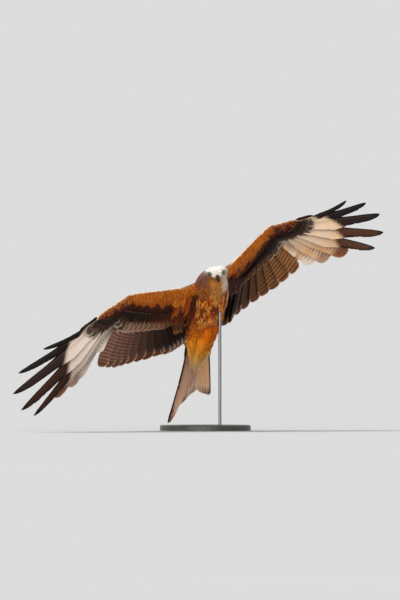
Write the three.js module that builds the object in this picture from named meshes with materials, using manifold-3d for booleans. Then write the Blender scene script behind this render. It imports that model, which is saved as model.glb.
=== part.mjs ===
// A red kite, life size and in flight, held by a plain display stand.
// Lengths are millimetres. The bird is built in its own frame: x forward, y to its left, z to its back,
// from the middle point between its shoulder joints. Then it is pitched, banked and set on the stand.
import * as THREE from "three";
import { mergeVertices } from "three/addons/utils/BufferGeometryUtils.js";
import Module from "manifold-3d";

const wasm = await Module();
wasm.setup();

// Attitude of the bird over the stand
const PITCH = 50;
const BANK = 34.3;
const HEADING = -79.7;
const SHOULDER_HEIGHT = 505;
const SHOULDER_SPOT = [12, -52];

// Display stand
const BASE_RADIUS = 150;
const BASE_HEIGHT = 18;
const BASE_EDGE = 3;
const ROD_RADIUS = 5;
const ROD_SPOT = [48, -24];

// Clearance between neighbouring parts, and the part planes across the body
const GAP = 0.3;
const TAIL_CUT = -232;
const NECK_CUT = 14;
const HEAD_CUT = -20;

// Head: the point between the pupils, and how the head is turned against the body
const EYE_POINT = new THREE.Vector3(58, -19, -49);
const HEAD_FORWARD = new THREE.Vector3(0.224, -0.553, -0.802).normalize();
const HEAD_UP = new THREE.Vector3(0.964, 0.012, 0.263);
const EYE_RADIUS = 7.4;
const EYE_SIDE = 20.2;
const EYE_BACK = 4.2;
const BILL_BASE = 8;
const BILL_REACH = 42;
const BILL_DROP = 13;

// Wing skeleton of the left side
const SHOULDER = new THREE.Vector3(-4, 52, 0);
const ELBOW = new THREE.Vector3(-72, 176, 20);
const WRIST = new THREE.Vector3(-2, 322, 45);
const FINGER_END = new THREE.Vector3(-6, 430, 55);

// Flight feathers, each list from the innermost feather out: length, sweep back from straight out and
// droop below the wing plane in degrees, how far the shaft is arched up and bowed forward, vane widths.
const PRIMARY_LENGTHS = [180, 222, 266, 300, 351, 438, 451, 430, 365, 246];
const PRIMARY_SWEEPS = [46.2, 47.6, 46.8, 40.3, 34, 29, 22.8, 17, 12.4, 5.4];
const PRIMARY_DROOPS = [2.3, 1.4, 5.3, 7.4, 8.5, 9.3, 7.2, 2.7, -1.3, -1.6];
const PRIMARY_ARCHES = [6, 5, 4, 2, -2, -7, -9, -11, -11, -16];
const PRIMARY_BOWS = [6, 6, 6, 6, 6, 7, 8, 8, 5, 6];
const PRIMARY_INNER_VANES = [22, 26, 30, 33, 34, 36, 36, 34, 25, 18];
const PRIMARY_OUTER_VANES = [16, 16, 16, 16, 16, 13, 13, 13, 12, 9];
const SECONDARY_LENGTHS = [200, 211, 222, 232, 232, 229, 229, 228, 225, 224];
const SECONDARY_SWEEPS = [102, 102, 100, 94.7, 89.4, 82, 75.5, 68.8, 62.2, 53.6];
const SECONDARY_DROOPS = [5.5, 3.5, 1, -1.2, -1.5, -0.7, 0.8, 3.2, 5.1, 7.1];
const TERTIAL_LENGTHS = [216, 214, 210, 206];
const TERTIAL_SWEEPS = [97, 99, 101, 103];
const TERTIAL_DROOPS = [3.4, 3.8, 4.2, 4.6];

// Tail
const TAIL_ROOT_X = -238;
const TAIL_LEVEL = 6;
const TAIL_ROOT_HALF = 40;
const TAIL_ROOT_SHIFT = 9;
const FORK_CENTRE = -478;
const FORK_TIP = -571;
const TAIL_BOW_LEFT = 6;
const TAIL_BOW_RIGHT = -20;
const FORK_CURVE_LEFT = 0.8;
const FORK_CURVE_RIGHT = 2.2;
const TAIL_SPREAD = 107;
const TAIL_DIP = 14;
const TAIL_TWIST = 16;

const vec = (x, y, z) => new THREE.Vector3(x, y, z);
const lerp = THREE.MathUtils.lerp;
const rad = THREE.MathUtils.degToRad;

// Closed mesh of shared points and faces to a solid, turned so that its faces point out.
function toSolid(points, faces) {
  let volume = 0;
  for (let i = 0; i < faces.length; i += 3) {
    const [a, b, c] = [points[faces[i]], points[faces[i + 1]], points[faces[i + 2]]];
    volume += a.dot(b.clone().cross(c));
  }
  const turned = [...faces];
  if (volume < 0)
    for (let i = 0; i < turned.length; i += 3)
      [turned[i], turned[i + 1]] = [turned[i + 1], turned[i]];
  return new wasm.Manifold(
    new wasm.Mesh({
      numProp: 3,
      vertProperties: new Float32Array(points.flatMap((p) => p.toArray())),
      triVerts: new Uint32Array(turned),
    }),
  );
}

// A ready-made geometry, moved by a matrix, to a solid.
function geometrySolid(geometry, matrix = new THREE.Matrix4()) {
  const bare = geometry.clone();
  bare.deleteAttribute("normal");
  bare.deleteAttribute("uv");
  bare.applyMatrix4(matrix);
  const merged = mergeVertices(bare, 1e-4);
  const place = merged.attributes.position;
  const points = [];
  for (let i = 0; i < place.count; i++) points.push(vec(0, 0, 0).fromBufferAttribute(place, i));
  return toSolid(points, [...merged.index.array]);
}

// Rings of equal count joined one to the next, each end closed by a fan to its middle.
function loft(rings) {
  const count = rings[0].length;
  const points = rings.flat();
  const faces = [];
  for (let r = 0; r + 1 < rings.length; r++)
    for (let k = 0; k < count; k++) {
      const a = r * count + k;
      const b = r * count + ((k + 1) % count);
      faces.push(a, b, b + count, a, b + count, a + count);
    }
  const close = (start, ring, turn) => {
    const middle = points.length;
    const centre = vec(0, 0, 0);
    ring.forEach((p) => centre.addScaledVector(p, 1 / count));
    points.push(centre);
    for (let k = 0; k < count; k++) {
      const next = (k + 1) % count;
      faces.push(middle, start + (turn ? next : k), start + (turn ? k : next));
    }
  };
  close(0, rings[0], true);
  close((rings.length - 1) * count, rings[rings.length - 1], false);
  return toSolid(points, faces);
}

// A tapered round rod along a smooth curve through points, with a radius at each point.
function taperedTube(path, radii, steps, sides) {
  const curve = new THREE.CatmullRomCurve3(path);
  const frames = curve.computeFrenetFrames(steps, false);
  const rings = [];
  for (let i = 0; i <= steps; i++) {
    const t = i / steps;
    const at = t * (radii.length - 1);
    const low = Math.min(Math.floor(at), radii.length - 2);
    const radius = lerp(radii[low], radii[low + 1], at - low);
    const centre = curve.getPoint(curve.getUtoTmapping(t));
    const ring = [];
    for (let k = 0; k < sides; k++) {
      const turn = (2 * Math.PI * k) / sides;
      ring.push(
        centre
          .clone()
          .addScaledVector(frames.normals[i], radius * Math.cos(turn))
          .addScaledVector(frames.binormals[i], radius * Math.sin(turn)),
      );
    }
    rings.push(ring);
  }
  return loft(rings);
}

const join = (solids) => solids.reduce((all, one) => all.add(one));

// The largest closed surface of a solid, without loose scraps or sealed hollows.
function largest(solid) {
  const bodies = solid.decompose();
  bodies.sort((a, b) => b.volume() - a.volume());
  return bodies[0];
}

function geometryOf(solid) {
  const mesh = solid.getMesh();
  const geometry = new THREE.BufferGeometry();
  geometry.setAttribute("position", new THREE.BufferAttribute(new Float32Array(mesh.vertProperties), 3));
  geometry.setIndex(new THREE.BufferAttribute(new Uint32Array(mesh.triVerts), 1));
  geometry.computeVertexNormals();
  return geometry;
}

// The same solid on the bird's other side.
function mirrored(solid) {
  const mesh = solid.getMesh();
  const points = [];
  for (let i = 0; i < mesh.numVert; i++) {
    const [x, y, z] = mesh.vertProperties.subarray(i * mesh.numProp, i * mesh.numProp + 3);
    points.push(vec(x, -y, z));
  }
  return toSolid(points, [...mesh.triVerts]);
}

function part(name, solid, colour, roughness) {
  const material = new THREE.MeshStandardMaterial({ color: colour, roughness, metalness: 0 });
  const mesh = new THREE.Mesh(geometryOf(solid), material);
  mesh.name = name;
  return mesh;
}

// Trunk, neck and head as one smooth form
const headSide = HEAD_UP.clone().cross(HEAD_FORWARD).normalize();
const headTop = HEAD_FORWARD.clone().cross(headSide).normalize();
const headTurn = new THREE.Quaternion().setFromRotationMatrix(
  new THREE.Matrix4().makeBasis(HEAD_FORWARD, headSide, headTop),
);

// A point given forward, to the left and up from the point between the pupils.
function onHead(forward, left, up) {
  return vec(forward, left, up).applyQuaternion(headTurn).add(EYE_POINT);
}

// Each row: centre, turn from the body's frame (0) to the head's (1), half width, height over, depth under.
const BODY_ROWS = [
  [vec(-290, -8, 6), 0, 36, 11, 11],
  [vec(-274, -8, 6), 0, 50, 20, 21],
  [vec(-250, -8, 5), 0, 60, 29, 30],
  [vec(-222, -7, 2), 0, 65, 36, 40],
  [vec(-190, -6, -1), 0, 65, 42, 50],
  [vec(-155, -3, -5), 0, 64, 48, 58],
  [vec(-110, 0, -9), 0, 65, 53, 63],
  [vec(-60, 0, -12), 0, 64, 52, 63],
  [vec(-15, 0, -12), 0, 58, 46, 56],
  [vec(14, 0, -13), 0.08, 50, 35, 48],
  [vec(33, 0, -20), 0.35, 44, 22.5, 41],
  [onHead(-25, 5, -9), 0.72, 39, 21.5, 33],
  [onHead(-14, 3, -4), 0.95, 34, 20, 25],
  [onHead(-5, 0, -1.5), 1, 26.5, 17, 20],
  [onHead(3, 0, -2), 1, 20, 13.5, 16],
  [onHead(9, 0, -3), 1, 14, 9.5, 11],
  [onHead(13, 0, -4), 1, 7.5, 6, 6.5],
];

function bodyForm(grow) {
  const sides = 18;
  const rings = BODY_ROWS.map(([centre, turn, wide, over, under]) => {
    const aim = new THREE.Quaternion().slerp(headTurn, turn);
    const ring = [];
    for (let k = 0; k < sides; k++) {
      const angle = (2 * Math.PI * k) / sides;
      const height = Math.sin(angle) > 0 ? over + grow : under + grow;
      ring.push(
        vec(0, (wide + grow) * Math.cos(angle), height * Math.sin(angle))
          .applyQuaternion(aim)
          .add(centre),
      );
    }
    return ring;
  });
  return loft(rings);
}

// A wide block whose near face passes through a point, square to a direction.
function halfSpace(point, direction) {
  const size = 900;
  const turn = new THREE.Quaternion().setFromUnitVectors(vec(1, 0, 0), direction.clone().normalize());
  const middle = point.clone().addScaledVector(direction.clone().normalize(), size / 2);
  const matrix = new THREE.Matrix4().compose(middle, turn, vec(1, 1, 1));
  return geometrySolid(new THREE.BoxGeometry(size, size, size), matrix);
}

const forward = vec(1, 0, 0);
const whole = bodyForm(0);
const headPlane = onHead(HEAD_CUT, 0, -5);
const neckLine = vec(0.9, -0.12, -0.42).normalize();
const headLine = vec(0.56, -0.35, -0.75).normalize();
const past = (point, line) => point.clone().addScaledVector(line, GAP);
const neckPlane = vec(NECK_CUT, 0, -13);
const tailPlane = vec(TAIL_CUT, 0, 0);

const aheadOfTail = halfSpace(tailPlane, forward);
const behindTail = halfSpace(past(tailPlane, forward.clone().negate()), forward.clone().negate());
const behindNeck = halfSpace(neckPlane, neckLine.clone().negate());
const aheadOfNeck = halfSpace(past(neckPlane, neckLine), neckLine);
const behindHead = halfSpace(headPlane, headLine.clone().negate());
const aheadOfHead = halfSpace(past(headPlane, headLine), headLine);

// Eyes, bill and head
const BROW_SIZE = vec(13, 4.4, 3.2);

// The head's own direction, turned further by angles about its three axes.
function headTurned(x, y, z) {
  return headTurn.clone().multiply(new THREE.Quaternion().setFromEuler(new THREE.Euler(x, y, z)));
}

function eyeBall(side, grow) {
  const matrix = new THREE.Matrix4().makeTranslation(onHead(-EYE_BACK, side * EYE_SIDE, 0.5));
  return geometrySolid(new THREE.SphereGeometry(EYE_RADIUS + grow, 12, 8), matrix);
}

// The rim of feathered skin round an eye, and the brow ridge that shades it.
function eyeRim(side) {
  const outward = vec(0.58, side * 0.8, 0.05).normalize();
  const turn = headTurn.clone().multiply(new THREE.Quaternion().setFromUnitVectors(vec(0, 0, 1), outward));
  const centre = onHead(-EYE_BACK + 2.7, side * (EYE_SIDE + 3.8), 0.7);
  const matrix = new THREE.Matrix4().compose(centre, turn, vec(1, 1, 1));
  const lid = geometrySolid(new THREE.TorusGeometry(6.3, 1.3, 4, 12), matrix);
  const browCentre = onHead(-2, side * (EYE_SIDE - 1.7), 8);
  const browMatrix = new THREE.Matrix4().compose(browCentre, headTurned(0, -0.15, -side * 0.45), BROW_SIZE);
  return lid.add(geometrySolid(new THREE.SphereGeometry(1, 8, 5), browMatrix));
}

function billForm(path, sizes, grow) {
  const curve = new THREE.CatmullRomCurve3(path.map(([ahead, up]) => vec(ahead, 0, up)));
  const sides = 12;
  const rings = sizes.map(([wide, high], i) => {
    const t = i / (sizes.length - 1);
    const centre = curve.getPoint(t);
    const along = curve.getTangent(t);
    const over = vec(-along.z, 0, along.x);
    const ring = [];
    for (let k = 0; k < sides; k++) {
      const angle = (2 * Math.PI * k) / sides;
      const p = centre
        .clone()
        .add(vec(0, (wide + grow) * Math.cos(angle), 0))
        .addScaledVector(over, (high + grow) * Math.sin(angle));
      ring.push(onHead(p.x, p.y, p.z));
    }
    return ring;
  });
  return loft(rings);
}

const UPPER_BILL_PATH = [
  [BILL_BASE - 6, -3.5],
  [BILL_BASE + 3, -3],
  [BILL_BASE + 12, -2.6],
  [BILL_BASE + 21, -3.6],
  [BILL_BASE + 29, -6.4],
  [BILL_REACH - 2.2, -9.8],
  [BILL_REACH - 1.6, -BILL_DROP],
];
const UPPER_BILL_SIZES = [
  [8.6, 7.2],
  [8.6, 7],
  [7.6, 6.3],
  [6.2, 5.6],
  [4.6, 4.6],
  [2.9, 3.1],
  [0.8, 0.9],
];
const LOWER_BILL_PATH = [
  [BILL_BASE - 6, -10],
  [BILL_BASE + 4, -11.2],
  [BILL_BASE + 14, -11.6],
  [BILL_BASE + 22, -10.8],
];
const LOWER_BILL_SIZES = [
  [7.6, 4],
  [6.8, 3.4],
  [5.2, 2.8],
  [2, 1.2],
];
const CERE_END = BILL_BASE + 9;
const upperBill = (grow) => billForm(UPPER_BILL_PATH, UPPER_BILL_SIZES, grow);
const lowerBill = (grow) => billForm(LOWER_BILL_PATH, LOWER_BILL_SIZES, grow);

// Oval nostril, slanting forward and down on each side of the cere.
function nostril(side) {
  const centre = onHead(BILL_BASE + 6.3, side * 8.2, -1.4);
  const matrix = new THREE.Matrix4().compose(centre, headTurned(0, 0.6, 0), vec(2.4, 2, 1.2));
  return geometrySolid(new THREE.SphereGeometry(1, 8, 6), matrix);
}

// The line of the mouth: a shallow slit from the bill back to below the eye.
function mouthSlit() {
  const centre = onHead(BILL_BASE - 3, 0, -8.6);
  const matrix = new THREE.Matrix4().compose(centre, headTurned(0, 0.12, 0), vec(1, 1, 1));
  const blade = geometrySolid(new THREE.BoxGeometry(20, 60, 1), matrix);
  return blade.subtract(bodyForm(-1.6));
}

const cereFront = halfSpace(onHead(CERE_END, 0, 0), HEAD_FORWARD);
const cereBack = halfSpace(onHead(CERE_END - GAP, 0, 0), HEAD_FORWARD.clone().negate());
const headGrown = bodyForm(GAP);
const cere = largest(
  upperBill(0.35).intersect(cereBack).subtract(headGrown).subtract(nostril(1)).subtract(nostril(-1)),
);
const billUpper = largest(upperBill(0).intersect(cereFront));
const billLower = largest(
  lowerBill(0).subtract(headGrown).subtract(upperBill(0.35 + GAP)),
);
const head = largest(
  whole
    .intersect(aheadOfHead)
    .add(eyeRim(1))
    .add(eyeRim(-1))
    .subtract(eyeBall(1, GAP))
    .subtract(eyeBall(-1, GAP))
    .subtract(mouthSlit())
    .subtract(upperBill(0.35 + GAP).intersect(cereBack)),
);
const neck = largest(whole.intersect(aheadOfNeck).intersect(behindHead));

// Legs, drawn up under the vent
const TOE_STEPS = 5;

function legParts(grow) {
  const thigh = taperedTube(
    [vec(-112, 23, -48), vec(-140, 22, -50), vec(-168, 18, -46), vec(-194, 13, -41)],
    [12 + grow, 17 + grow, 14 + grow, 8 + grow],
    5,
    12,
  );
  const shank = taperedTube(
    [vec(-192, 13, -44), vec(-212, 11, -40), vec(-240, 9, -30)],
    [5 + grow, 4.2 + grow, 4.6 + grow],
    3,
    10,
  );
  return { thigh, shank };
}

// One toe with its claw: a knuckled rod that bends under and ends in a sharp hook.
function toe(start, spread, reach, drop, thick) {
  const lie = (share, fall) => vec(start.x - reach * share, start.y + spread * share, start.z + fall);
  const path = [start, lie(0.35, 2.5), lie(0.62, 4), lie(0.8, 1 + drop * 0.3), lie(0.76, drop * 0.9)];
  return taperedTube(path, [thick, thick * 0.85, thick * 0.8, thick * 0.62, 0.35], TOE_STEPS, 5);
}

function footForm(grow) {
  const root = vec(-242, 9, -29);
  const palm = geometrySolid(
    new THREE.SphereGeometry(1, 8, 5),
    new THREE.Matrix4().compose(root, new THREE.Quaternion(), vec(6.5 + grow, 6 + grow, 5 + grow)),
  );
  return join([
    palm,
    toe(root, 6, 34, -9, 3.1 + grow),
    toe(root, 0, 42, -9, 3.3 + grow),
    toe(root, -5, 36, -9, 3.1 + grow),
    toe(vec(-239, 9, -32), 3, 19, -8, 3.2 + grow),
  ]);
}

const leftLeg = legParts(0);
const leftLegGrown = legParts(GAP);
const leftFoot = footForm(0);
const leftFootGrown = footForm(GAP);
const shank = leftLeg.shank.subtract(leftLegGrown.thigh).subtract(leftFootGrown);
const legRoom = leftLegGrown.thigh.add(leftLegGrown.shank).add(leftFootGrown);

const torso = largest(
  whole.intersect(aheadOfTail).intersect(behindNeck).subtract(legRoom).subtract(mirrored(legRoom)),
);

// Feathers: rows of thin blades, each over the next one out, with a raised shaft
const trunkGrown = bodyForm(GAP);
const VANE_EDGE = 0.5;

// Each row: share of the length, then the share of the outer and of the inner half width there.
const ROUND_VANE = [
  [0, 0.1, 0.06],
  [0.42, 0.97, 0.9],
  [0.88, 0.95, 0.95],
  [1, 0.35, 0.35],
];
const FINGER_VANE = [
  [0, 0.2, 0.06],
  [0.42, 0.9, 1],
  [0.6, 0.5, 0.74],
  [0.84, 0.45, 0.62],
  [1, 0.1, 0.1],
];
const COVERT_VANE = [
  [0, 0.35, 0.35],
  [0.78, 1, 1],
  [1, 0.45, 0.45],
];

// A blade from stations of centre, side and up directions, half widths, and shaft thickness.
function blade(stations, grow) {
  const points = [];
  for (const { centre, side, up, outer, inner, thick } of stations) {
    const at = (across, rise) => centre.clone().addScaledVector(side, across).addScaledVector(up, rise);
    const out = outer + grow;
    const inn = inner + grow;
    const edge = VANE_EDGE / 2 + grow;
    const sag = 0.05;
    const shaft = thick / 2 + grow;
    points.push(at(out, edge - sag * out), at(0, shaft), at(-inn, edge - sag * inn));
    points.push(at(out, -edge - sag * out), at(0, -shaft), at(-inn, -edge - sag * inn));
  }
  const faces = [];
  const quad = (a, b, c, d) => faces.push(a, b, c, a, c, d);
  const top = [0, 1, 2];
  const under = [3, 4, 5];
  for (let s = 0; s + 1 < stations.length; s++) {
    const near = s * 6;
    const far = near + 6;
    for (let k = 0; k < 2; k++) {
      quad(near + top[k], near + top[k + 1], far + top[k + 1], far + top[k]);
      faces.push(near + under[k], far + under[k + 1], near + under[k + 1]);
      faces.push(near + under[k], far + under[k], far + under[k + 1]);
    }
    quad(near + 3, near, far, far + 3);
    quad(near + 2, near + 5, far + 5, far + 2);
  }
  const last = (stations.length - 1) * 6;
  quad(0, 3, 4, 1);
  quad(1, 4, 5, 2);
  quad(last, last + 1, last + 4, last + 3);
  quad(last + 1, last + 2, last + 5, last + 4);
  return toSolid(points, faces);
}

// Shaft points of one feather at the shares of its length, arched up and bowed to its outer side.
function shaftPoints({ root, tip, arch, bow }, shares) {
  const along = tip.clone().sub(root);
  const outward = vec(-along.y, along.x, 0).normalize().negate();
  return shares.map((share) => {
    const swell = 4 * share * (1 - share);
    return root
      .clone()
      .addScaledVector(along, share)
      .addScaledVector(outward, bow * swell)
      .add(vec(0, 0, arch * swell));
  });
}

// A row of feathers from the body outwards. Each is tilted so that its outer edge lies over its neighbour.
function featherRow(feathers, tiltRoot, tiltTip) {
  return feathers.map((feather, i) => {
    const shares = feather.vane.map(([share]) => share);
    const own = shaftPoints(feather, shares);
    const before = shaftPoints(feathers[Math.max(i - 1, 0)], shares);
    const after = shaftPoints(feathers[Math.min(i + 1, feathers.length - 1)], shares);
    const stations = own.map((centre, s) => {
      const [share, outerShare, innerShare] = feather.vane[s];
      const along = own[Math.min(s + 1, own.length - 1)].clone().sub(own[Math.max(s - 1, 0)]).normalize();
      const across = after[s].clone().sub(before[s]);
      const flat = across.clone().cross(along).normalize();
      const tilt = rad(lerp(tiltRoot, tiltTip, share));
      const level = along.clone().cross(flat).normalize();
      const side = level.clone().multiplyScalar(Math.cos(tilt)).addScaledVector(flat, Math.sin(tilt));
      const up = flat.clone().multiplyScalar(Math.cos(tilt)).addScaledVector(level, -Math.sin(tilt));
      const lifted = centre.clone().addScaledVector(flat, feather.lift * (1 - 0.2 * share));
      return {
        centre: lifted,
        side,
        up,
        outer: feather.outer * outerShare,
        inner: feather.inner * innerShare,
        thick: lerp(feather.thick, 0.7, share),
      };
    });
    return (grow = 0) => blade(stations, grow);
  });
}

// Flight feathers of the left wing, from the elbow out: tertials, secondaries, primaries
const lineAt = (from, to, share) => from.clone().lerp(to, share);

function aimed(root, length, sweep, droop) {
  const flat = Math.cos(rad(droop)) * length;
  return root
    .clone()
    .add(vec(-flat * Math.sin(rad(sweep)), flat * Math.cos(rad(sweep)), -length * Math.sin(rad(droop))));
}

const ARM_FEATHER = { arch: 12, bow: 5, vane: ROUND_VANE, thick: 2, lift: 0 };
const armFeathers = [];
TERTIAL_LENGTHS.forEach((length, i) => {
  const share = (i + 0.6) / TERTIAL_LENGTHS.length;
  const root = lineAt(SHOULDER, ELBOW, lerp(0.32, 0.95, share));
  const tip = aimed(root, length, TERTIAL_SWEEPS[i], TERTIAL_DROOPS[i]);
  armFeathers.push({ root, tip, ...ARM_FEATHER, outer: 22, inner: 30 });
});
SECONDARY_LENGTHS.forEach((length, i) => {
  const share = (i + 0.35) / SECONDARY_LENGTHS.length;
  const root = lineAt(ELBOW, WRIST, share);
  const tip = aimed(root, length, SECONDARY_SWEEPS[i], SECONDARY_DROOPS[i]);
  armFeathers.push({ root, tip, ...ARM_FEATHER, outer: 21, inner: 34 });
});
const handFeathers = PRIMARY_LENGTHS.map((length, i) => {
  const share = i / (PRIMARY_LENGTHS.length - 1);
  const finger = i > 4;
  const root = lineAt(WRIST, FINGER_END, lerp(0.06, 1, share));
  return {
    root,
    tip: aimed(root, length, PRIMARY_SWEEPS[i], PRIMARY_DROOPS[i]),
    arch: PRIMARY_ARCHES[i],
    bow: PRIMARY_BOWS[i],
    vane: finger ? FINGER_VANE : ROUND_VANE,
    outer: PRIMARY_OUTER_VANES[i],
    inner: PRIMARY_INNER_VANES[i],
    thick: 2.6,
    lift: 0,
  };
});

// A row of coverts that lies over or under the bases of flight feathers.
function covertsOf(feathers, reach, lift, outer, inner) {
  return feathers.map((feather) => {
    const [root, tip] = shaftPoints(feather, [0.06, reach]);
    return { root, tip, arch: 3, bow: 2, vane: COVERT_VANE, outer, inner, thick: 1, lift };
  });
}

const remiges = featherRow([...armFeathers, ...handFeathers], 15, 7);
const armCount = armFeathers.length;
const everySecond = (feathers) => feathers.filter((feather, i) => i % 2 === 0);
const armCovertBeds = everySecond(armFeathers);
const handCovertBeds = everySecond(handFeathers);
const armCovertCount = armCovertBeds.length;
const COVERT_TILT = [5, 4];
const overCoverts = featherRow(
  [...covertsOf(armCovertBeds, 0.5, 8, 24, 32), ...covertsOf(handCovertBeds, 0.3, 7.5, 17, 22)],
  ...COVERT_TILT,
);
const underCoverts = featherRow(
  [...covertsOf(armCovertBeds, 0.42, -10, 24, 30), ...covertsOf(handCovertBeds, 0.27, -9.5, 16, 19)],
  ...COVERT_TILT,
);

// The fleshy arm or hand with its small coverts: rounded in front, thin behind.
function limbForm(rows, grow) {
  const sides = 10;
  return loft(
    rows.map(([front, bone, rear, half]) => {
      const ring = [];
      for (let k = 0; k < sides; k++) {
        const angle = (2 * Math.PI * k) / sides;
        const reach = Math.cos(angle);
        const end = reach > 0 ? front : rear;
        const slope = reach > 0 ? 1 : 1 + 0.35 * reach;
        const p = bone.clone().lerp(end, Math.abs(reach));
        const away = end.clone().sub(bone).setZ(0).normalize();
        p.addScaledVector(away, grow * Math.abs(reach));
        ring.push(p.add(vec(0, 0, (half * slope + grow) * Math.sin(angle))));
      }
      return ring;
    }),
  );
}

const shareOn = (feather, share) => shaftPoints(feather, [share])[0];
const BONE_REACH = 0.22;
const armRows = [
  [vec(10, 20, -4), vec(-40, 20, -4), vec(-120, 20, -6), 20],
  [vec(0, 62, 2), vec(-32, 66, 1), shareOn(armFeathers[0], BONE_REACH).setY(66), 17],
  [vec(1, 100, 8), lineAt(SHOULDER, ELBOW, 0.42), shareOn(armFeathers[1], BONE_REACH), 15],
  [vec(9, 150, 19), lineAt(SHOULDER, ELBOW, 0.8), shareOn(armFeathers[3], BONE_REACH), 12.5],
  [vec(17, 200, 31), lineAt(ELBOW, WRIST, 0.16), shareOn(armFeathers[5], BONE_REACH), 11],
  [vec(25, 245, 42), lineAt(ELBOW, WRIST, 0.45), shareOn(armFeathers[8], BONE_REACH), 10],
  [vec(34, 290, 50), lineAt(ELBOW, WRIST, 0.78), shareOn(armFeathers[11], BONE_REACH), 9],
  [vec(39, 318, 53), lineAt(ELBOW, WRIST, 1.02), shareOn(armFeathers[13], BONE_REACH), 8.5],
  [vec(36, 345, 55), lineAt(ELBOW, WRIST, 1.2), shareOn(handFeathers[1], BONE_REACH), 8],
];
const handRows = [
  [vec(39, 285, 48), lineAt(WRIST, FINGER_END, -0.3), shareOn(armFeathers[13], 0.16), 9],
  [vec(38, 312, 53), lineAt(WRIST, FINGER_END, -0.05), shareOn(handFeathers[0], 0.16), 8.5],
  [vec(29, 350, 55), lineAt(WRIST, FINGER_END, 0.3), shareOn(handFeathers[3], 0.13), 7.5],
  [vec(17, 395, 58), lineAt(WRIST, FINGER_END, 0.7), shareOn(handFeathers[6], 0.11), 6.5],
  [vec(10, 430, 57), lineAt(WRIST, FINGER_END, 1), shareOn(handFeathers[9], 0.14), 5.5],
  [vec(-2, 458, 50), vec(-6, 458, 49), shareOn(handFeathers[9], 0.2), 3],
];
const wristPoint = WRIST.clone().add(vec(0, 3, 1));
const wristLine = vec(0.61, 0.79, 0);
const insideWrist = (grow) =>
  halfSpace(wristPoint.clone().addScaledVector(wristLine, grow), wristLine.clone().negate());
const pastWrist = halfSpace(past(wristPoint, wristLine), wristLine);
const armForm = (grow) => limbForm(armRows, grow).intersect(insideWrist(grow));
const handForm = limbForm(handRows, 0).intersect(pastWrist);

// The alula: three short stiff feathers on the wrist's front edge, over the hand.
const alula = featherRow(
  [0, 1, 2].map((i) => ({
    root: vec(20 - 5 * i, 335 + 3 * i, 55.6),
    tip: vec(-10 + 5 * i, 396 + 9 * i, 63 + i),
    arch: 3,
    bow: 1,
    vane: COVERT_VANE,
    outer: 6,
    inner: 11,
    thick: 1,
    lift: 3,
  })),
  8,
  8,
);

const pick = (row, from, to, grow) => row.slice(from, to).map((make) => make(grow));
const innerWing = join([
  armForm(0),
  ...pick(remiges, 0, armCount, 0),
  ...pick(overCoverts, 0, armCovertCount, 0),
  ...pick(underCoverts, 0, armCovertCount, 0),
]);
const innerEdgeRoom = join([
  armForm(GAP),
  ...pick(remiges, armCount - 4, armCount, GAP),
  ...pick(overCoverts, armCovertCount - 2, armCovertCount, GAP),
  ...pick(underCoverts, armCovertCount - 2, armCovertCount, GAP),
]);
const outerWing = join([
  handForm,
  ...pick(remiges, armCount, remiges.length, 0),
  ...pick(overCoverts, armCovertCount, overCoverts.length, 0),
  ...pick(underCoverts, armCovertCount, underCoverts.length, 0),
  ...alula.map((make) => make(0)),
]).subtract(innerEdgeRoom);

// Tail: six feathers to a side, the outer ones longest, on a short root, with coverts above and below
const TAIL_PAIRS = 6;
function tailHalf(side) {
  const feathers = [];
  for (let i = 0; i < TAIL_PAIRS; i++) {
    const share = i / (TAIL_PAIRS - 1);
    const root = vec(TAIL_ROOT_X, lerp(3, TAIL_ROOT_HALF, share) - side * TAIL_ROOT_SHIFT, TAIL_LEVEL);
    const spread = lerp(12, TAIL_SPREAD, share);
    const level = -TAIL_DIP * (1 - share) + (side * TAIL_TWIST * spread) / TAIL_SPREAD;
    const curve = side > 0 ? FORK_CURVE_LEFT : FORK_CURVE_RIGHT;
    feathers.push({
      root,
      tip: vec(lerp(FORK_CENTRE, FORK_TIP, share ** curve), spread, level),
      arch: 5,
      bow: (side > 0 ? TAIL_BOW_LEFT : TAIL_BOW_RIGHT) * share,
      vane: ROUND_VANE,
      outer: lerp(17, 9, share),
      inner: i === 0 ? 10 : 25,
      thick: 1.8,
      lift: 0,
    });
  }
  const coverts = (reach, lift) =>
    [0, 3].map((i) => {
      const [root, tip] = shaftPoints(feathers[i], [0, reach - 0.02 * i]);
      const inner = i === 0 ? 6 : 20;
      return { root, tip, arch: 2, bow: 0, vane: COVERT_VANE, outer: 13, inner, thick: 1, lift };
    });
  return [
    ...featherRow(feathers, 13, 6),
    ...featherRow(coverts(0.34, 6.5), 6, 4),
    ...featherRow(coverts(0.38, -8), 6, 4),
  ].map((make) => make(0));
}
const legsRoom = legRoom.add(mirrored(legRoom));
const tail = largest(
  join([whole, ...tailHalf(1), ...tailHalf(-1).map(mirrored)]).intersect(behindTail).subtract(legsRoom),
);

const bird = new THREE.Group();
bird.rotation.set(rad(BANK), rad(-PITCH), rad(HEADING), "ZYX");
bird.position.set(SHOULDER_SPOT[0], SHOULDER_SPOT[1], SHOULDER_HEIGHT);
bird.updateMatrixWorld(true);

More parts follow.
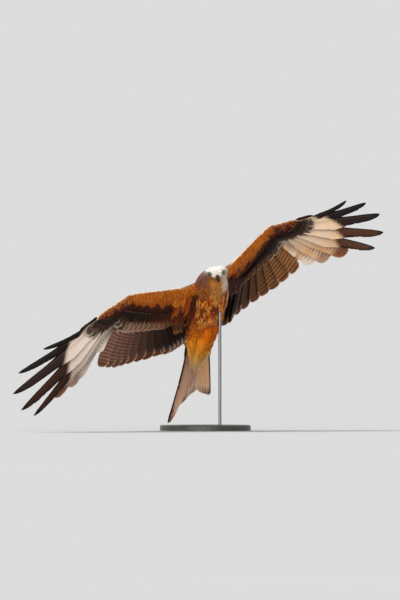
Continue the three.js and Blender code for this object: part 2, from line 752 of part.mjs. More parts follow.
bird.add(part("head", head, "#e9e4dc", 0.85));
bird.add(part("cere", cere, "#d9a62a", 0.5));
bird.add(part("bill_upper", billUpper, "#2a2523", 0.35));
bird.add(part("bill_lower", billLower, "#3a332c", 0.4));
bird.add(part("eye_left", eyeBall(1, 0), "#c9b98a", 0.1));
bird.add(part("eye_right", eyeBall(-1, 0), "#c9b98a", 0.1));
bird.add(part("neck", neck, "#c08a5a", 0.9));
bird.add(part("torso", torso, "#a8541f", 0.9));
bird.add(part("tail", tail, "#c9a58a", 0.8));
for (const side of [1, -1]) {
  const name = side > 0 ? "left" : "right";
  const place = side > 0 ? (solid) => solid : mirrored;
  const inner = largest(place(innerWing).subtract(trunkGrown));
  bird.add(part("wing_inner_" + name, inner, "#7a3f1e", 0.85));
  bird.add(part("wing_outer_" + name, largest(place(outerWing)), "#3b2c26", 0.8));
  bird.add(part("thigh_" + name, place(leftLeg.thigh), "#b5682c", 0.9));
  bird.add(part("shank_" + name, place(largest(shank)), "#d8a63a", 0.6));
  bird.add(part("foot_" + name, place(leftFoot), "#d8a63a", 0.6));
}

// Stand: a round flat base and one upright rod to the belly
const stand = new THREE.Group();
const edge = BASE_RADIUS - BASE_EDGE;
const baseProfile = [
  new THREE.Vector2(0, 0),
  new THREE.Vector2(BASE_RADIUS, 0),
  new THREE.Vector2(BASE_RADIUS, BASE_HEIGHT - BASE_EDGE),
  new THREE.Vector2(edge, BASE_HEIGHT),
  new THREE.Vector2(0, BASE_HEIGHT),
];
const upright = new THREE.Matrix4().makeRotationX(Math.PI / 2);
const baseSolid = geometrySolid(new THREE.LatheGeometry(baseProfile, 48), upright);
stand.add(part("stand_base", baseSolid, "#3a3a3c", 0.4));

const rodLength = SHOULDER_HEIGHT - BASE_HEIGHT - 60;
const rodPlace = new THREE.Matrix4()
  .makeTranslation(ROD_SPOT[0], ROD_SPOT[1], BASE_HEIGHT + GAP + rodLength / 2)
  .multiply(upright);
const intoBird = bird.matrixWorld.clone().invert();
const rodSolid = geometrySolid(
  new THREE.CylinderGeometry(ROD_RADIUS, ROD_RADIUS, rodLength, 20),
  intoBird.clone().multiply(rodPlace),
).subtract(bodyForm(GAP));
const rodBodies = rodSolid.decompose();
const lowest = (solid) => vec(...solid.boundingBox().min).z;
rodBodies.sort((a, b) => lowest(a) - lowest(b));
bird.add(part("stand_rod", rodBodies[0], "#b8b8ba", 0.25));

const redKite = new THREE.Group();
redKite.add(bird, stand);
export default redKite;
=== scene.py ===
# %% [markdown]
# # A red kite on its stand
#
# A life-size red kite hangs on a thin steel rod over a round base, wings spread and banked, as it turns
# in the air. The solids of the frame already hold its true size and pose. Here the bird gets its skin,
# its coat of small feathers, its long flight feathers, and the fine work on head and feet.

import bmesh
import bpy
import numpy as np
from mathutils import Matrix, Vector
from mathutils.bvhtree import BVHTree
from mathutils.kdtree import KDTree


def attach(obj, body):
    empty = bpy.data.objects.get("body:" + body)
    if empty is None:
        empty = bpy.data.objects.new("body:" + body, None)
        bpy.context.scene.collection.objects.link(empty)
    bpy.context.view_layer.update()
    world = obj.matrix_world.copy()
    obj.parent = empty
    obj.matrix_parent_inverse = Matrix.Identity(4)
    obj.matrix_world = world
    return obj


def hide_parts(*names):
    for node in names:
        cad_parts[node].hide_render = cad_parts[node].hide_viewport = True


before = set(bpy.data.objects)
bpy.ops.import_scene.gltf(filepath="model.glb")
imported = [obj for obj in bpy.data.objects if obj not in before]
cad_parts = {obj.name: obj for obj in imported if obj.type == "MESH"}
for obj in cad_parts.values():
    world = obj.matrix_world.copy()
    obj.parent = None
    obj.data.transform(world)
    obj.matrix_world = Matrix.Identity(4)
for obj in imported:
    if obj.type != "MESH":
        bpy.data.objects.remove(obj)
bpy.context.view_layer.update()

# %% [markdown]
# ## The bird's own axes
#
# A bird is easiest to shape lying straight: x to the bill, y to its left wing, z to its back, in
# millimetres. One turn and one shift then bring every point into the banked pose over the stand.


# %% Axes
HEADING, PITCH, BANK = -79.7, -50, 34.3
MIRROR = np.array((1.0, -1, 1))


def turning(axis, degrees):
    """The 3 x 3 matrix of a turn about the x, y or z axis."""
    return np.array(Matrix.Rotation(np.radians(degrees), 3, axis))


POSE = turning("Z", HEADING) @ turning("Y", PITCH) @ turning("X", BANK)
PLACE = np.array((12.0, -52.0, 505.0))


def in_scene(points):
    """Points of the bird in millimetres, as scene coordinates in metres."""
    return (np.asarray(points) @ POSE.T + PLACE) / 1000


def vectors(*parts):
    """Vectors from their parts; a part may be one number for all."""
    return np.stack(np.broadcast_arrays(*parts), -1)


def unit(vectors):
    vectors = np.asarray(vectors, float)
    return vectors / np.maximum(np.linalg.norm(vectors, axis=-1, keepdims=True), 1e-9)


def dot(a, b):
    return (a * b).sum(-1)


# %% Curves
def ease(low, high, x):
    """0 below low, 1 above high, and smooth between."""
    t = np.clip((np.asarray(x, float) - low) / (high - low), 0, 1)
    return t * t * (3 - 2 * t)


def between(a, b, share):
    """From a to b."""
    return a + (b - a) * share


def through(knots, at):
    """A smooth curve through rows of numbers, read at row numbers that may lie between."""
    knots = np.asarray(knots, float)
    at = np.asarray(at, float)
    last = len(knots) - 1
    low = np.clip(np.floor(at).astype(int), 0, last - 1)
    t = (at - low)[..., None]
    back, here = knots[np.maximum(low - 1, 0)], knots[low]
    there, on = knots[low + 1], knots[np.minimum(low + 2, last)]
    bend = 2 * back - 5 * here + 4 * there - on + t * (3 * (here - there) + on - back)
    return here + 0.5 * t * (there - back + t * bend)


def run(points):
    """How far along a line of points each one is."""
    return np.concatenate(([0], np.cumsum(np.linalg.norm(np.diff(points, axis=0), axis=1))))


def drift(points, size, seed):
    """A smooth random value between 0 and 1 over space, with blotches of about that size in mm."""
    dice = np.random.default_rng(seed)
    total = 0
    for _ in range(7):
        wave = unit(dice.normal(size=3)) * 2 * np.pi / (size * dice.uniform(1.3, 2.9))
        total = total + np.sin(np.asarray(points) @ wave + dice.uniform(0, 6.28))
    return np.clip(0.5 + total / 7, 0, 1)


# %% Colours
def colour(code):
    """A colour code such as #aa5511 as light values."""
    level = np.array([int(code[i : i + 2], 16) for i in (1, 3, 5)]) / 255
    return np.where(level < 0.04045, level / 12.92, ((level + 0.055) / 1.055) ** 2.4)


def blend(a, b, share):
    """From a to b, for whole colours or vectors."""
    return between(a, b, np.asarray(share, float)[..., None])


def layered(base, *coats):
    """Thin coats laid over a base colour, each given by its colour and its mask."""
    tint = colour(base) if isinstance(base, str) else base
    for coat, mask in coats:
        tint = blend(tint, colour(coat) if isinstance(coat, str) else coat, mask)
    return tint


print("bill points to", POSE[:, 0].round(2), "left wing to", POSE[:, 1].round(2))

# %% [markdown]
# ## Collecting faces
#
# Thousands of feathers become a few meshes. A pile gathers points and four-sided faces with what the
# paint needs to know at each point: its colour, a second colour for marks, where on the feather it is,
# and how strong bars and streaks are. Each corner also has its place on the flat picture called OFBake.


# %% Piles of faces
def write_layer(mesh, name, values):
    """Stores one vector a point with the mesh, where its paint can read it."""
    layer = mesh.attributes.new(name, "FLOAT_VECTOR", "POINT")
    layer.data.foreach_set("vector", values.astype(np.float32).ravel())


class Pile:
    """Points, faces and paint values that end up as one mesh."""

    def __init__(self):
        self.points, self.faces, self.corners, self.count = [], [], [], 0
        self.paint = {"tint": [], "deep": [], "grain": [], "mark": []}

    def add(self, points, faces, corners, *paint, mirror=False):
        """Paint is tint, deep, grain and mark; each may be one value for all points."""
        if mirror:
            points, faces, corners = points * MIRROR, faces[:, ::-1], corners[:, ::-1]
        for values, own in zip(self.paint.values(), paint):
            values.append(np.broadcast_to(own, points.shape).reshape(-1, 3))
        self.points.append(points.reshape(-1, 3))
        self.faces.append(faces + self.count)
        self.corners.append(corners.reshape(-1, 4, 2))
        self.count += points.size // 3

    def mesh(self, name):
        points = in_scene(np.concatenate(self.points))
        faces = np.concatenate(self.faces).astype(np.int32)
        mesh = bpy.data.meshes.new(name)
        mesh.vertices.add(len(points))
        mesh.vertices.foreach_set("co", points.astype(np.float32).ravel())
        mesh.loops.add(faces.size)
        mesh.loops.foreach_set("vertex_index", faces.ravel())
        mesh.polygons.add(len(faces))
        mesh.polygons.foreach_set("loop_start", np.arange(0, faces.size, 4, dtype=np.int32))
        mesh.update(calc_edges=True)
        flat = np.concatenate(self.corners).astype(np.float32)
        mesh.uv_layers.new(name="OFBake").uv.foreach_set("vector", flat.ravel())
        for key, values in self.paint.items():
            write_layer(mesh, key, np.concatenate(values))
        mesh.polygons.foreach_set("use_smooth", np.ones(len(faces), bool))
        mesh.validate()
        return mesh


# %% Pieces and tubes
def piece(name, mesh, material, slot, *nodes):
    """An object of the bird on the one body of the frame; it may stand for nodes of the frame."""
    thing = bpy.data.objects.new(name, mesh)
    bpy.context.scene.collection.objects.link(thing)
    mesh.materials.clear()
    mesh.materials.append(material)
    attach(thing, "root")
    if nodes:
        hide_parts(*nodes)
    print(f"{name}: {len(mesh.polygons)} faces")


def ring_faces(rows, around):
    """Faces of a tube: rows of rings, each ring closed on itself, and shut at both ends."""
    r, k = np.meshgrid(np.arange(rows - 1), np.arange(around), indexing="ij")
    here, there = r * around + k, r * around + (k + 1) % around
    walls = vectors(here, there, there + around, here + around).reshape(-1, 4)
    half = np.arange(around // 2 - 1)
    lid = vectors(half + 1, half, around - 1 - half, around - 2 - half)
    return np.concatenate((walls, lid, lid[:, ::-1] + (rows - 1) * around))


def ring_corners(rows, around, left=0.02, low=0.02, width=0.96, height=0.96):
    """Corner places for ring_faces: the tube slit open and laid flat in a rectangle."""
    r, k = np.meshgrid(np.arange(rows - 1), np.arange(around), indexing="ij")
    u0, u1 = left + width * k / around, left + width * (k + 1) / around
    v0, v1 = low + height * r / (rows - 1), low + height * (r + 1) / (rows - 1)
    walls = vectors(u0, v0, u1, v0, u1, v1, u0, v1).reshape(-1, 4, 2)
    half = np.arange(around // 2 - 1)
    x = vectors(half + 1, half, around - 1 - half, around - 2 - half) * width / around + left
    return np.concatenate((walls, vectors(x, low), vectors(x[:, ::-1], low + height)))


# %% [markdown]
# ## Paint
#
# Shader maths reads like plain arithmetic here: a Value wraps a socket, and adding or multiplying it
# adds the Math nodes. Feathers share one recipe. The colour of the region comes with the mesh, and the
# shader draws what is finer: dark bars across, a dark streak along the shaft, and the slanting barbs.


# %% Values in sums
def plug(tree, spot, value):
    """Links a socket to a value, or sets it to a plain number or colour."""
    if isinstance(value, Value):
        value = value.socket
    if isinstance(value, bpy.types.NodeSocket):
        tree.links.new(value, spot)
    else:
        spot.default_value = value


class Value:
    """A number of the shader that can be used in sums."""

    def __init__(self, tree, socket):
        self.tree, self.socket = tree, socket

    def math(self, operation, *terms, clamp=False):
        node = self.tree.nodes.new("ShaderNodeMath")
        node.operation, node.use_clamp = operation, clamp
        for spot, term in zip(node.inputs, terms):
            plug(self.tree, spot, term)
        return Value(self.tree, node.outputs[0])

    def __add__(self, other):
        return self.math("ADD", self, other)

    def __sub__(self, other):
        return self.math("SUBTRACT", self, other)

    def __rsub__(self, other):
        return self.math("SUBTRACT", other, self)

    def __mul__(self, other):
        return self.math("MULTIPLY", self, other)

    __radd__, __rmul__ = __add__, __mul__

    def sin(self):
        return self.math("SINE", self)

    def abs(self):
        return self.math("ABSOLUTE", self)

    def held(self):
        """Kept between 0 and 1."""
        return self.math("ADD", self, 0.0, clamp=True)

    def ease(self, low, high):
        """0 below low, 1 above high, smooth between; low may be the larger one."""
        node = self.tree.nodes.new("ShaderNodeMapRange")
        node.interpolation_type = "SMOOTHSTEP"
        for key, value in (("Value", self), ("From Min", low), ("From Max", high)):
            plug(self.tree, node.inputs[key], value)
        return Value(self.tree, node.outputs[0])


# %% Paint kit
def swatch(tone):
    """A colour code as the value of a colour socket; anything else as it is."""
    return (*colour(tone), 1.0) if isinstance(tone, str) else tone


class Paint:
    """One material and its nodes."""

    def __init__(self, name, **constants):
        self.material = bpy.data.materials.new(name)
        self.material.use_nodes = True
        self.tree = self.material.node_tree
        self.tree.nodes.clear()
        self.shader = self.node("ShaderNodeBsdfPrincipled", **constants)
        self.node("ShaderNodeOutputMaterial", Surface=self.shader.outputs[0])

    def node(self, kind, settings=(), **sockets):
        """A node of any type: settings first, then the values or links of its sockets."""
        node = self.tree.nodes.new(kind)
        for key, value in dict(settings).items():
            setattr(node, key, value)
        for key, value in sockets.items():
            spot = int(key[1:]) if key[1:].isdigit() else key.replace("_", " ")
            plug(self.tree, node.inputs[spot], value)
        return node

    def attribute(self, name):
        return self.node("ShaderNodeAttribute", {"attribute_name": name}).outputs["Vector"]

    def parts(self, name):
        """The three numbers that the mesh holds under this name."""
        node = self.node("ShaderNodeSeparateXYZ", Vector=self.attribute(name))
        return [Value(self.tree, node.outputs[i]) for i in range(3)]

    def noise(self, scale, detail, where=None):
        where = where or self.node("ShaderNodeTexCoord").outputs["Object"]
        node = self.node("ShaderNodeTexNoise", Vector=where, Scale=scale, Detail=detail)
        return Value(self.tree, node.outputs[0])

    def mixed(self, a, b, share, how="MIX"):
        """Colour a turning into colour b; a Mix node has its share at 0 and two colours at 6 and 7."""
        settings = {"data_type": "RGBA", "blend_type": how}
        return self.node("ShaderNodeMix", settings, i0=share, i6=swatch(a), i7=swatch(b)).outputs[2]

    def done(self, look, roughness, height, relief, strength):
        """The material, with its colour, its roughness and a relief of so many metres."""
        bump = self.node("ShaderNodeBump", Height=height, Distance=relief, Strength=strength)
        ends = {"Base Color": look, "Roughness": roughness.held(), "Normal": bump.outputs[0]}
        for key, value in ends.items():
            plug(self.tree, self.shader.inputs[key], value)
        return self.material


# %% Paint of feathers
FULL_TURN = 6.283
DARKER_BARBS = (0.8, 0.76, 0.72, 1.0)
SHAFT_LIGHT = (0.34, 0.23, 0.15, 1.0)


def feather_paint(name, bar_gap, barb_gap, roughness, relief):
    """Paint of feathers; the gaps are the spacing of bars and barbs in millimetres."""
    paint = Paint(name, Specular_IOR_Level=0.1)
    tint, deep = paint.attribute("tint"), paint.attribute("deep")
    along, across, share = paint.parts("grain")
    bars, streak, seed = paint.parts("mark")
    wander, speckle = paint.noise(55.0, 3.0), paint.noise(420.0, 2.0)
    side = across.abs()
    # Bars cross the vane a little slanted, and break up towards the edges.
    phase = along * (FULL_TURN / bar_gap) + side * 2.2 + seed * FULL_TURN + wander * 3.6
    bar = phase.sin().ease(-0.1, 0.7) * bars * (speckle * 0.5 + wander * 0.6 + 0.35)
    # The streak is widest in the middle of the feather and thins out at its tip.
    reach = streak * (1.05 - share * 0.55) + (speckle - 0.5) * 0.25 * streak
    line = side.ease(reach + 0.12, reach) * streak.ease(0.0, 0.06)
    # Barbs run from the shaft outwards to the tip.
    barb = ((along - side * 5.0) * (FULL_TURN / barb_gap)).sin() * 0.5 + 0.5
    shaft = side.ease(0.09, 0.02) * share.ease(1.0, 0.75)
    look = paint.mixed(tint, deep, (bar * 0.9 + line).held())
    dim = (barb * 0.1 + (wander - 0.5) * 0.6 + 0.1).held()
    look = paint.mixed(look, DARKER_BARBS, dim, "MULTIPLY")
    look = paint.mixed(look, SHAFT_LIGHT, shaft * 0.16)
    rough = roughness + (speckle - 0.5) * 0.25 + shaft * -0.15
    return paint.done(look, rough, barb * 0.4 + shaft * 0.8 + speckle * 0.35, relief, 0.5)


VANE_PAINT = feather_paint("vane_paint", 12.0, 1.1, 0.6, 0.0004)
DOWN_PAINT = feather_paint("down_paint", 8.0, 0.9, 0.8, 0.0002)
print("feather paints ready")

# %% [markdown]
# ## Skin
#
# Under the feathers is one smooth body: trunk, neck and head, the arms and hands in the wings, and the
# thighs. A taxidermist carves it from one block. Here each part is a loft of a few rings, the lofts are
# melted into one surface by a voxel remesh, and a light smoothing takes the steps out.

# %% The turned head
EYES = np.array((58.0, -19.0, -49.0))
FRONT = unit((0.224, -0.553, -0.802))
SIDE = unit(np.cross((0.964, 0.012, 0.263), FRONT))
TOP = np.cross(FRONT, SIDE)
TURN = Matrix(np.stack((FRONT, SIDE, TOP), 1).tolist()).to_quaternion()
HEAD_AXIS, HEAD_ANGLE = np.array(TURN.to_axis_angle()[0]), TURN.to_axis_angle()[1]
if HEAD_ANGLE > np.pi:
    HEAD_AXIS, HEAD_ANGLE = -HEAD_AXIS, 2 * np.pi - HEAD_ANGLE


def on_head(forward, left, up):
    """A point given in the head's own directions, from the middle between the pupils."""
    parts = (np.asarray(v, float)[..., None] for v in (forward, left, up))
    return EYES + sum(v * axis for v, axis in zip(parts, (FRONT, SIDE, TOP)))


def head_turned(vectors, share):
    """Vectors turned by a share of the head's turn against the body."""
    angle = (np.asarray(share) * HEAD_ANGLE)[..., None]
    cross = np.cross(HEAD_AXIS, vectors)
    along = HEAD_AXIS * dot(vectors, HEAD_AXIS)[..., None]
    return vectors * np.cos(angle) + cross * np.sin(angle) + along * (1 - np.cos(angle))


# %% Rings of the body
# Each row: centre of the ring, share of the head's turn, half width, height over and under the centre.
BODY = np.array(
    [
        (-290, -8, 6, 0, 36, 11, 11),
        (-274, -8, 6, 0, 50, 20, 21),
        (-250, -8, 5, 0, 60, 29, 30),
        (-222, -7, 2, 0, 65, 36, 40),
        (-190, -6, -1, 0, 65, 42, 50),
        (-155, -3, -5, 0, 64, 48, 58),
        (-110, 0, -9, 0, 65, 53, 63),
        (-60, 0, -12, 0, 64, 52, 63),
        (-15, 0, -12, 0, 58, 46, 56),
        (14, 0, -13, 0.08, 50, 35, 48),
        (33, 0, -20, 0.35, 44, 22.5, 41),
        (*on_head(-25, 5, -9), 0.72, 39, 21.5, 33),
        (*on_head(-14, 3, -4), 0.95, 34, 20, 25),
        (*on_head(-5, 0, -1.5), 1, 26.5, 17, 20),
        (*on_head(3, 0, -2), 1, 20, 13.5, 16),
        (*on_head(9, 0, -3), 1, 14, 9.5, 11),
        (*on_head(13, 0, -4), 1, 7.5, 6, 6.5),
    ]
)


def body_at(at, angle, grow=0.0):
    """Points on the body: at is the row, from the tail to the bill; angle 90 degrees is the back."""
    at, angle = np.broadcast_arrays(np.asarray(at, float), np.asarray(angle, float))
    row = through(BODY, at)
    high = np.where(np.sin(angle) > 0, row[..., 5], row[..., 6]) + grow
    spoke = vectors(0, (row[..., 4] + grow) * np.cos(angle), high * np.sin(angle))
    return row[..., :3] + head_turned(spoke, np.clip(row[..., 3], 0, 1))


def tube_at(path, radii, at, angle):
    """Points on a round tube whose path and radii are given by a few rows."""
    at, angle = np.broadcast_arrays(np.asarray(at, float), np.asarray(angle, float))
    centre = through(path, at)
    ahead = unit(through(path, at + 0.02) - through(path, at - 0.02))
    left = unit(np.cross(ahead, (0.05, 0.1, 1)))
    up = np.cross(left, ahead)
    radius = through(np.asarray(radii, float)[:, None], at)
    return centre + radius * (left * np.cos(angle)[..., None] + up * np.sin(angle)[..., None])


print("head turned by", round(float(np.degrees(HEAD_ANGLE))), "degrees")
print("bill tip near", on_head(40, 0, -13).round())

# %% [markdown]
# ## How the wing feathers lie
#
# A wing has ten primaries on the hand, ten secondaries and four tertials on the arm. Each feather is
# given by its root on the bones and its tip, with an arch and a bow between. The same numbers as in the
# solids are used, so the outline stays true, and the coverts take their places from these feathers.

# %% Flight feathers of the left wing
SHOULDER = np.array((-4.0, 52, 0))
ELBOW = np.array((-72.0, 176, 20))
WRIST = np.array((-2.0, 322, 45))
FINGER_END = np.array((-6.0, 430, 55))

# One row a feather from the inside out: length, sweep, droop, arch, bow, inner and outer half width.
TERTIALS = [(216, 97, 3.4), (214, 99, 3.8), (210, 101, 4.2), (206, 103, 4.6)]
SECONDARIES = [
    (200, 102, 5.5),
    (211, 102, 3.5),
    (222, 100, 1),
    (232, 94.7, -1.2),
    (232, 89.4, -1.5),
    (229, 82, -0.7),
    (229, 75.5, 0.8),
    (228, 68.8, 3.2),
    (225, 62.2, 5.1),
    (224, 53.6, 7.1),
]
PRIMARIES = [
    (180, 46.2, 2.3, 6, 6, 22, 16),
    (222, 47.6, 1.4, 5, 6, 26, 16),
    (266, 46.8, 5.3, 4, 6, 30, 16),
    (300, 40.3, 7.4, 2, 6, 33, 16),
    (351, 34, 8.5, -2, 6, 34, 16),
    (438, 29, 9.3, -7, 7, 36, 13),
    (451, 22.8, 7.2, -9, 8, 36, 13),
    (430, 17, 2.7, -11, 8, 34, 13),
    (365, 12.4, -1.3, -11, 5, 25, 12),
    (246, 5.4, -1.6, -16, 6, 18, 9),
]


def lying(root, length, sweep, droop, arch, bow, inner, outer):
    """One feather as a row of numbers: root, tip, arch, bow, inner and outer half width."""
    sweep, droop = np.radians((sweep, droop))
    flat = np.cos(droop) * length
    way = np.array((-flat * np.sin(sweep), flat * np.cos(sweep), -length * np.sin(droop)))
    return (*root, *(root + way), arch, bow, inner, outer)


ARM = len(TERTIALS) + len(SECONDARIES)
QUILLS = [
    lying(between(SHOULDER, ELBOW, 0.32 + 0.63 * (i + 0.6) / 4), *row, 12, 5, 30, 22)
    for i, row in enumerate(TERTIALS)
]
QUILLS += [
    lying(between(ELBOW, WRIST, (i + 0.35) / 10), *row, 12, 5, 34, 21)
    for i, row in enumerate(SECONDARIES)
]
QUILLS += [
    lying(between(WRIST, FINGER_END, 0.06 + 0.94 * i / 9), *row) for i, row in enumerate(PRIMARIES)
]
QUILLS = np.array(QUILLS)


def shafts(rows, shares):
    """Shaft points of each feather at the shares of its length: feathers x shares x 3."""
    rows, s = np.asarray(rows)[:, None, :], np.atleast_2d(shares)[..., None]
    root, along = rows[..., :3], rows[..., 3:6] - rows[..., :3]
    out = unit(vectors(along[..., 1], -along[..., 0], 0))
    swell = 4 * s * (1 - s)
    return root + along * s + out * rows[..., 7:8] * swell + rows[..., 6:7] * swell * (0, 0, 1)


def on_shaft(number, share):
    """A point on the shaft of one flight feather."""
    return shafts(QUILLS[number : number + 1], [share])[0, 0]


# %% Shape of arm and hand
# Each row: front edge, thickest place, rear edge, half thickness.
ARM_SHAPE = [
    ((10, 20, -4), (-40, 20, -4), (-120, 20, -6), 20),
    ((0, 62, 2), (-32, 66, 1), on_shaft(0, 0.22) * (1, 0, 1) + (0, 66, 0), 17),
    ((1, 100, 8), between(SHOULDER, ELBOW, 0.42), on_shaft(1, 0.22), 15),
    ((9, 150, 19), between(SHOULDER, ELBOW, 0.8), on_shaft(3, 0.22), 12.5),
    ((17, 200, 31), between(ELBOW, WRIST, 0.16), on_shaft(5, 0.22), 11),
    ((25, 245, 42), between(ELBOW, WRIST, 0.45), on_shaft(8, 0.22), 10),
    ((34, 290, 50), between(ELBOW, WRIST, 0.78), on_shaft(11, 0.22), 9),
    ((39, 318, 53), between(ELBOW, WRIST, 1.02), on_shaft(13, 0.2), 8.5),
    ((29, 350, 55), between(WRIST, FINGER_END, 0.3), on_shaft(17, 0.13), 7.5),
    ((17, 395, 58), between(WRIST, FINGER_END, 0.7), on_shaft(20, 0.11), 6.5),
    ((10, 430, 57), between(WRIST, FINGER_END, 1), on_shaft(23, 0.14), 5.5),
    ((-2, 458, 50), (-6, 458, 49), on_shaft(23, 0.2), 3),
]
ARM_SHAPE = np.array([(*front, *thick, *rear, half) for front, thick, rear, half in ARM_SHAPE])


def arm_at(at, angle, grow=0.0):
    """Points on the arm and hand: at is the row from the shoulder out; angle 0 is the front edge."""
    at, angle = np.broadcast_arrays(np.asarray(at, float), np.asarray(angle, float))
    row = through(ARM_SHAPE, at)
    reach = np.cos(angle)[..., None]
    end = np.where(reach > 0, row[..., :3], row[..., 6:9])
    slope = np.where(reach > 0, 1, 1 + 0.35 * reach)[..., 0]
    away = unit((end - row[..., 3:6]) * (1, 1, 0))
    spot = row[..., 3:6] + (end - row[..., 3:6]) * np.abs(reach) + away * grow * np.abs(reach)
    return spot + ((row[..., 9] * slope + grow) * np.sin(angle))[..., None] * (0, 0, 1)


THIGH = np.array([(-112, 23, -48), (-140, 22, -50), (-168, 18, -46), (-194, 13, -41), (-203, 12, -42.0)])
THIGH_RADII = np.array((12, 17, 14, 8, 4.5))
print("wing spans to", shafts(QUILLS, [1.0])[:, 0, 1].max().round(), "mm from the middle")

# %% [markdown]
# The lofts are joined, remeshed at 2.4 mm and smoothed. The surface is then laid flat, so that each small
# feather can take its place on the flat picture from the spot where it grows.


# %% Lofts of the skin
COAT_DEPTH, WING_COAT_DEPTH, LEG_COAT_DEPTH = 2.6, 0.8, 1.5
VOXEL = 0.0024


def brow_ridge(left, turns):
    """The ridge over one eye, which gives a kite its stern look."""
    ball = np.linspace(0, np.pi, 12)[:, None]
    x = 12 * np.cos(ball)
    ridge = vectors(x, 3.6 * np.sin(ball) * np.cos(turns), 2.4 * np.sin(ball) * np.sin(turns))
    turn = Matrix.Rotation(-0.45 * left, 3, "Z") @ Matrix.Rotation(-0.15, 3, "Y")
    ridge = ridge @ np.array(turn).T
    return on_head(ridge[..., 0] - 2, ridge[..., 1] + 16.2 * left, ridge[..., 2] + 6.8)


def skin_lofts():
    turns = np.linspace(0, 2 * np.pi, 64, endpoint=False)
    lofts = [body_at(np.linspace(0, 16, 190)[:, None], turns, -COAT_DEPTH)]
    for left in (1, -1):
        arm = arm_at(np.linspace(0, 11, 170)[:, None], turns, -WING_COAT_DEPTH)
        leg = tube_at(THIGH, THIGH_RADII - LEG_COAT_DEPTH, np.linspace(0, 4, 40)[:, None], turns)
        lofts += [arm * (1, left, 1), leg * (1, left, 1), brow_ridge(left, turns)]
    return lofts


# %% One skin
def skin_mesh():
    work = bmesh.new()
    for loft in skin_lofts():
        spots = [work.verts.new(p) for p in in_scene(loft.reshape(-1, 3))]
        made = [work.faces.new([spots[i] for i in face]) for face in ring_faces(*loft.shape[:2])]
        bmesh.ops.recalc_face_normals(work, faces=made)
    rough = bpy.data.meshes.new("skin_rough")
    work.to_mesh(rough)
    work.free()
    thing = bpy.data.objects.new("skin_rough", rough)
    bpy.context.scene.collection.objects.link(thing)
    melt = thing.modifiers.new("melt", "REMESH")
    melt.mode, melt.voxel_size, melt.use_smooth_shade = "VOXEL", VOXEL, True
    calm = thing.modifiers.new("calm", "SMOOTH")
    calm.factor, calm.iterations = 0.5, 6
    done = thing.evaluated_get(bpy.context.evaluated_depsgraph_get())
    mesh = bpy.data.meshes.new_from_object(done)
    bpy.data.objects.remove(thing)
    bpy.data.meshes.remove(rough)
    return mesh


def unwrap(mesh):
    """Lays the mesh flat on a picture called OFBake."""
    thing = bpy.data.objects.new("flat", mesh)
    bpy.context.scene.collection.objects.link(thing)
    mesh.uv_layers.new(name="OFBake")
    bpy.context.view_layer.objects.active = thing
    thing.select_set(True)
    bpy.ops.object.mode_set(mode="EDIT")
    bpy.ops.mesh.select_all(action="SELECT")
    bpy.ops.uv.smart_project(angle_limit=1.15, island_margin=0.002)
    bpy.ops.object.mode_set(mode="OBJECT")
    bpy.data.objects.remove(thing)


SKIN = skin_mesh()
unwrap(SKIN)
SKIN.name = "skin"
print("skin has", len(SKIN.polygons), "faces")


# %% Finding places on the skin
def read(collection, key, width, kind=float):
    """One row of numbers for each thing in a collection."""
    out = np.empty(len(collection) * width, np.float32 if kind is float else np.int32)
    collection.foreach_get(key, out)
    return out.reshape(-1, width).astype(kind)


SKIN.calc_loop_triangles()
CORNERS = read(SKIN.loop_triangles, "vertices", 3, int)
FLAT = read(SKIN.uv_layers["OFBake"].uv, "vector", 2)[read(SKIN.loop_triangles, "loops", 3, int)]
SKIN_SPOTS = (read(SKIN.vertices, "co", 3) * 1000 - PLACE) @ POSE
SKIN_NORMALS = read(SKIN.vertex_normals, "vector", 3) @ POSE
FACE_NORMALS = unit(SKIN_NORMALS[CORNERS].mean(1))
TREE = BVHTree.FromPolygons(SKIN_SPOTS.tolist(), CORNERS.tolist(), all_triangles=True)


def nearest(points):
    """The nearest spots on the skin, their normals and their places on the flat picture."""
    points = np.asarray(points, float)
    found = [TREE.find_nearest(Vector(p)) for p in points.reshape(-1, 3)]
    index = np.array([f[2] for f in found])
    spots = np.array([f[0] for f in found])
    shape = points.shape[:-1]
    flat = FLAT[index].mean(1)
    return spots.reshape(*shape, 3), FACE_NORMALS[index].reshape(*shape, 3), flat.reshape(*shape, 2)


print("skin reaches from", SKIN_SPOTS.min(0).round(), "to", SKIN_SPOTS.max(0).round())

# %% [markdown]
# ## Colours of the coat
#
# The head is whitish with fine grey streaks, darker behind the eye. The breast is rufous with dark
# streaks, the belly and the vent plainer and more orange. Under the wing the small coverts are bright
# rufous, followed by a blackish band. The back is dark brown with rufous edges. The same rule colours
# the skin and each small feather from the spot where it grows, so bare gaps never show.

# %% Colours of the trunk
RUFOUS, GOLDEN, BUFF, VENT, PINKISH = "#d05a0c", "#ee8e24", "#f0ac74", "#ec7e06", "#e6bfa6"
BROWN, STREAKS = "#4a2a18", "#742606"
DARK = colour("#2a110a")


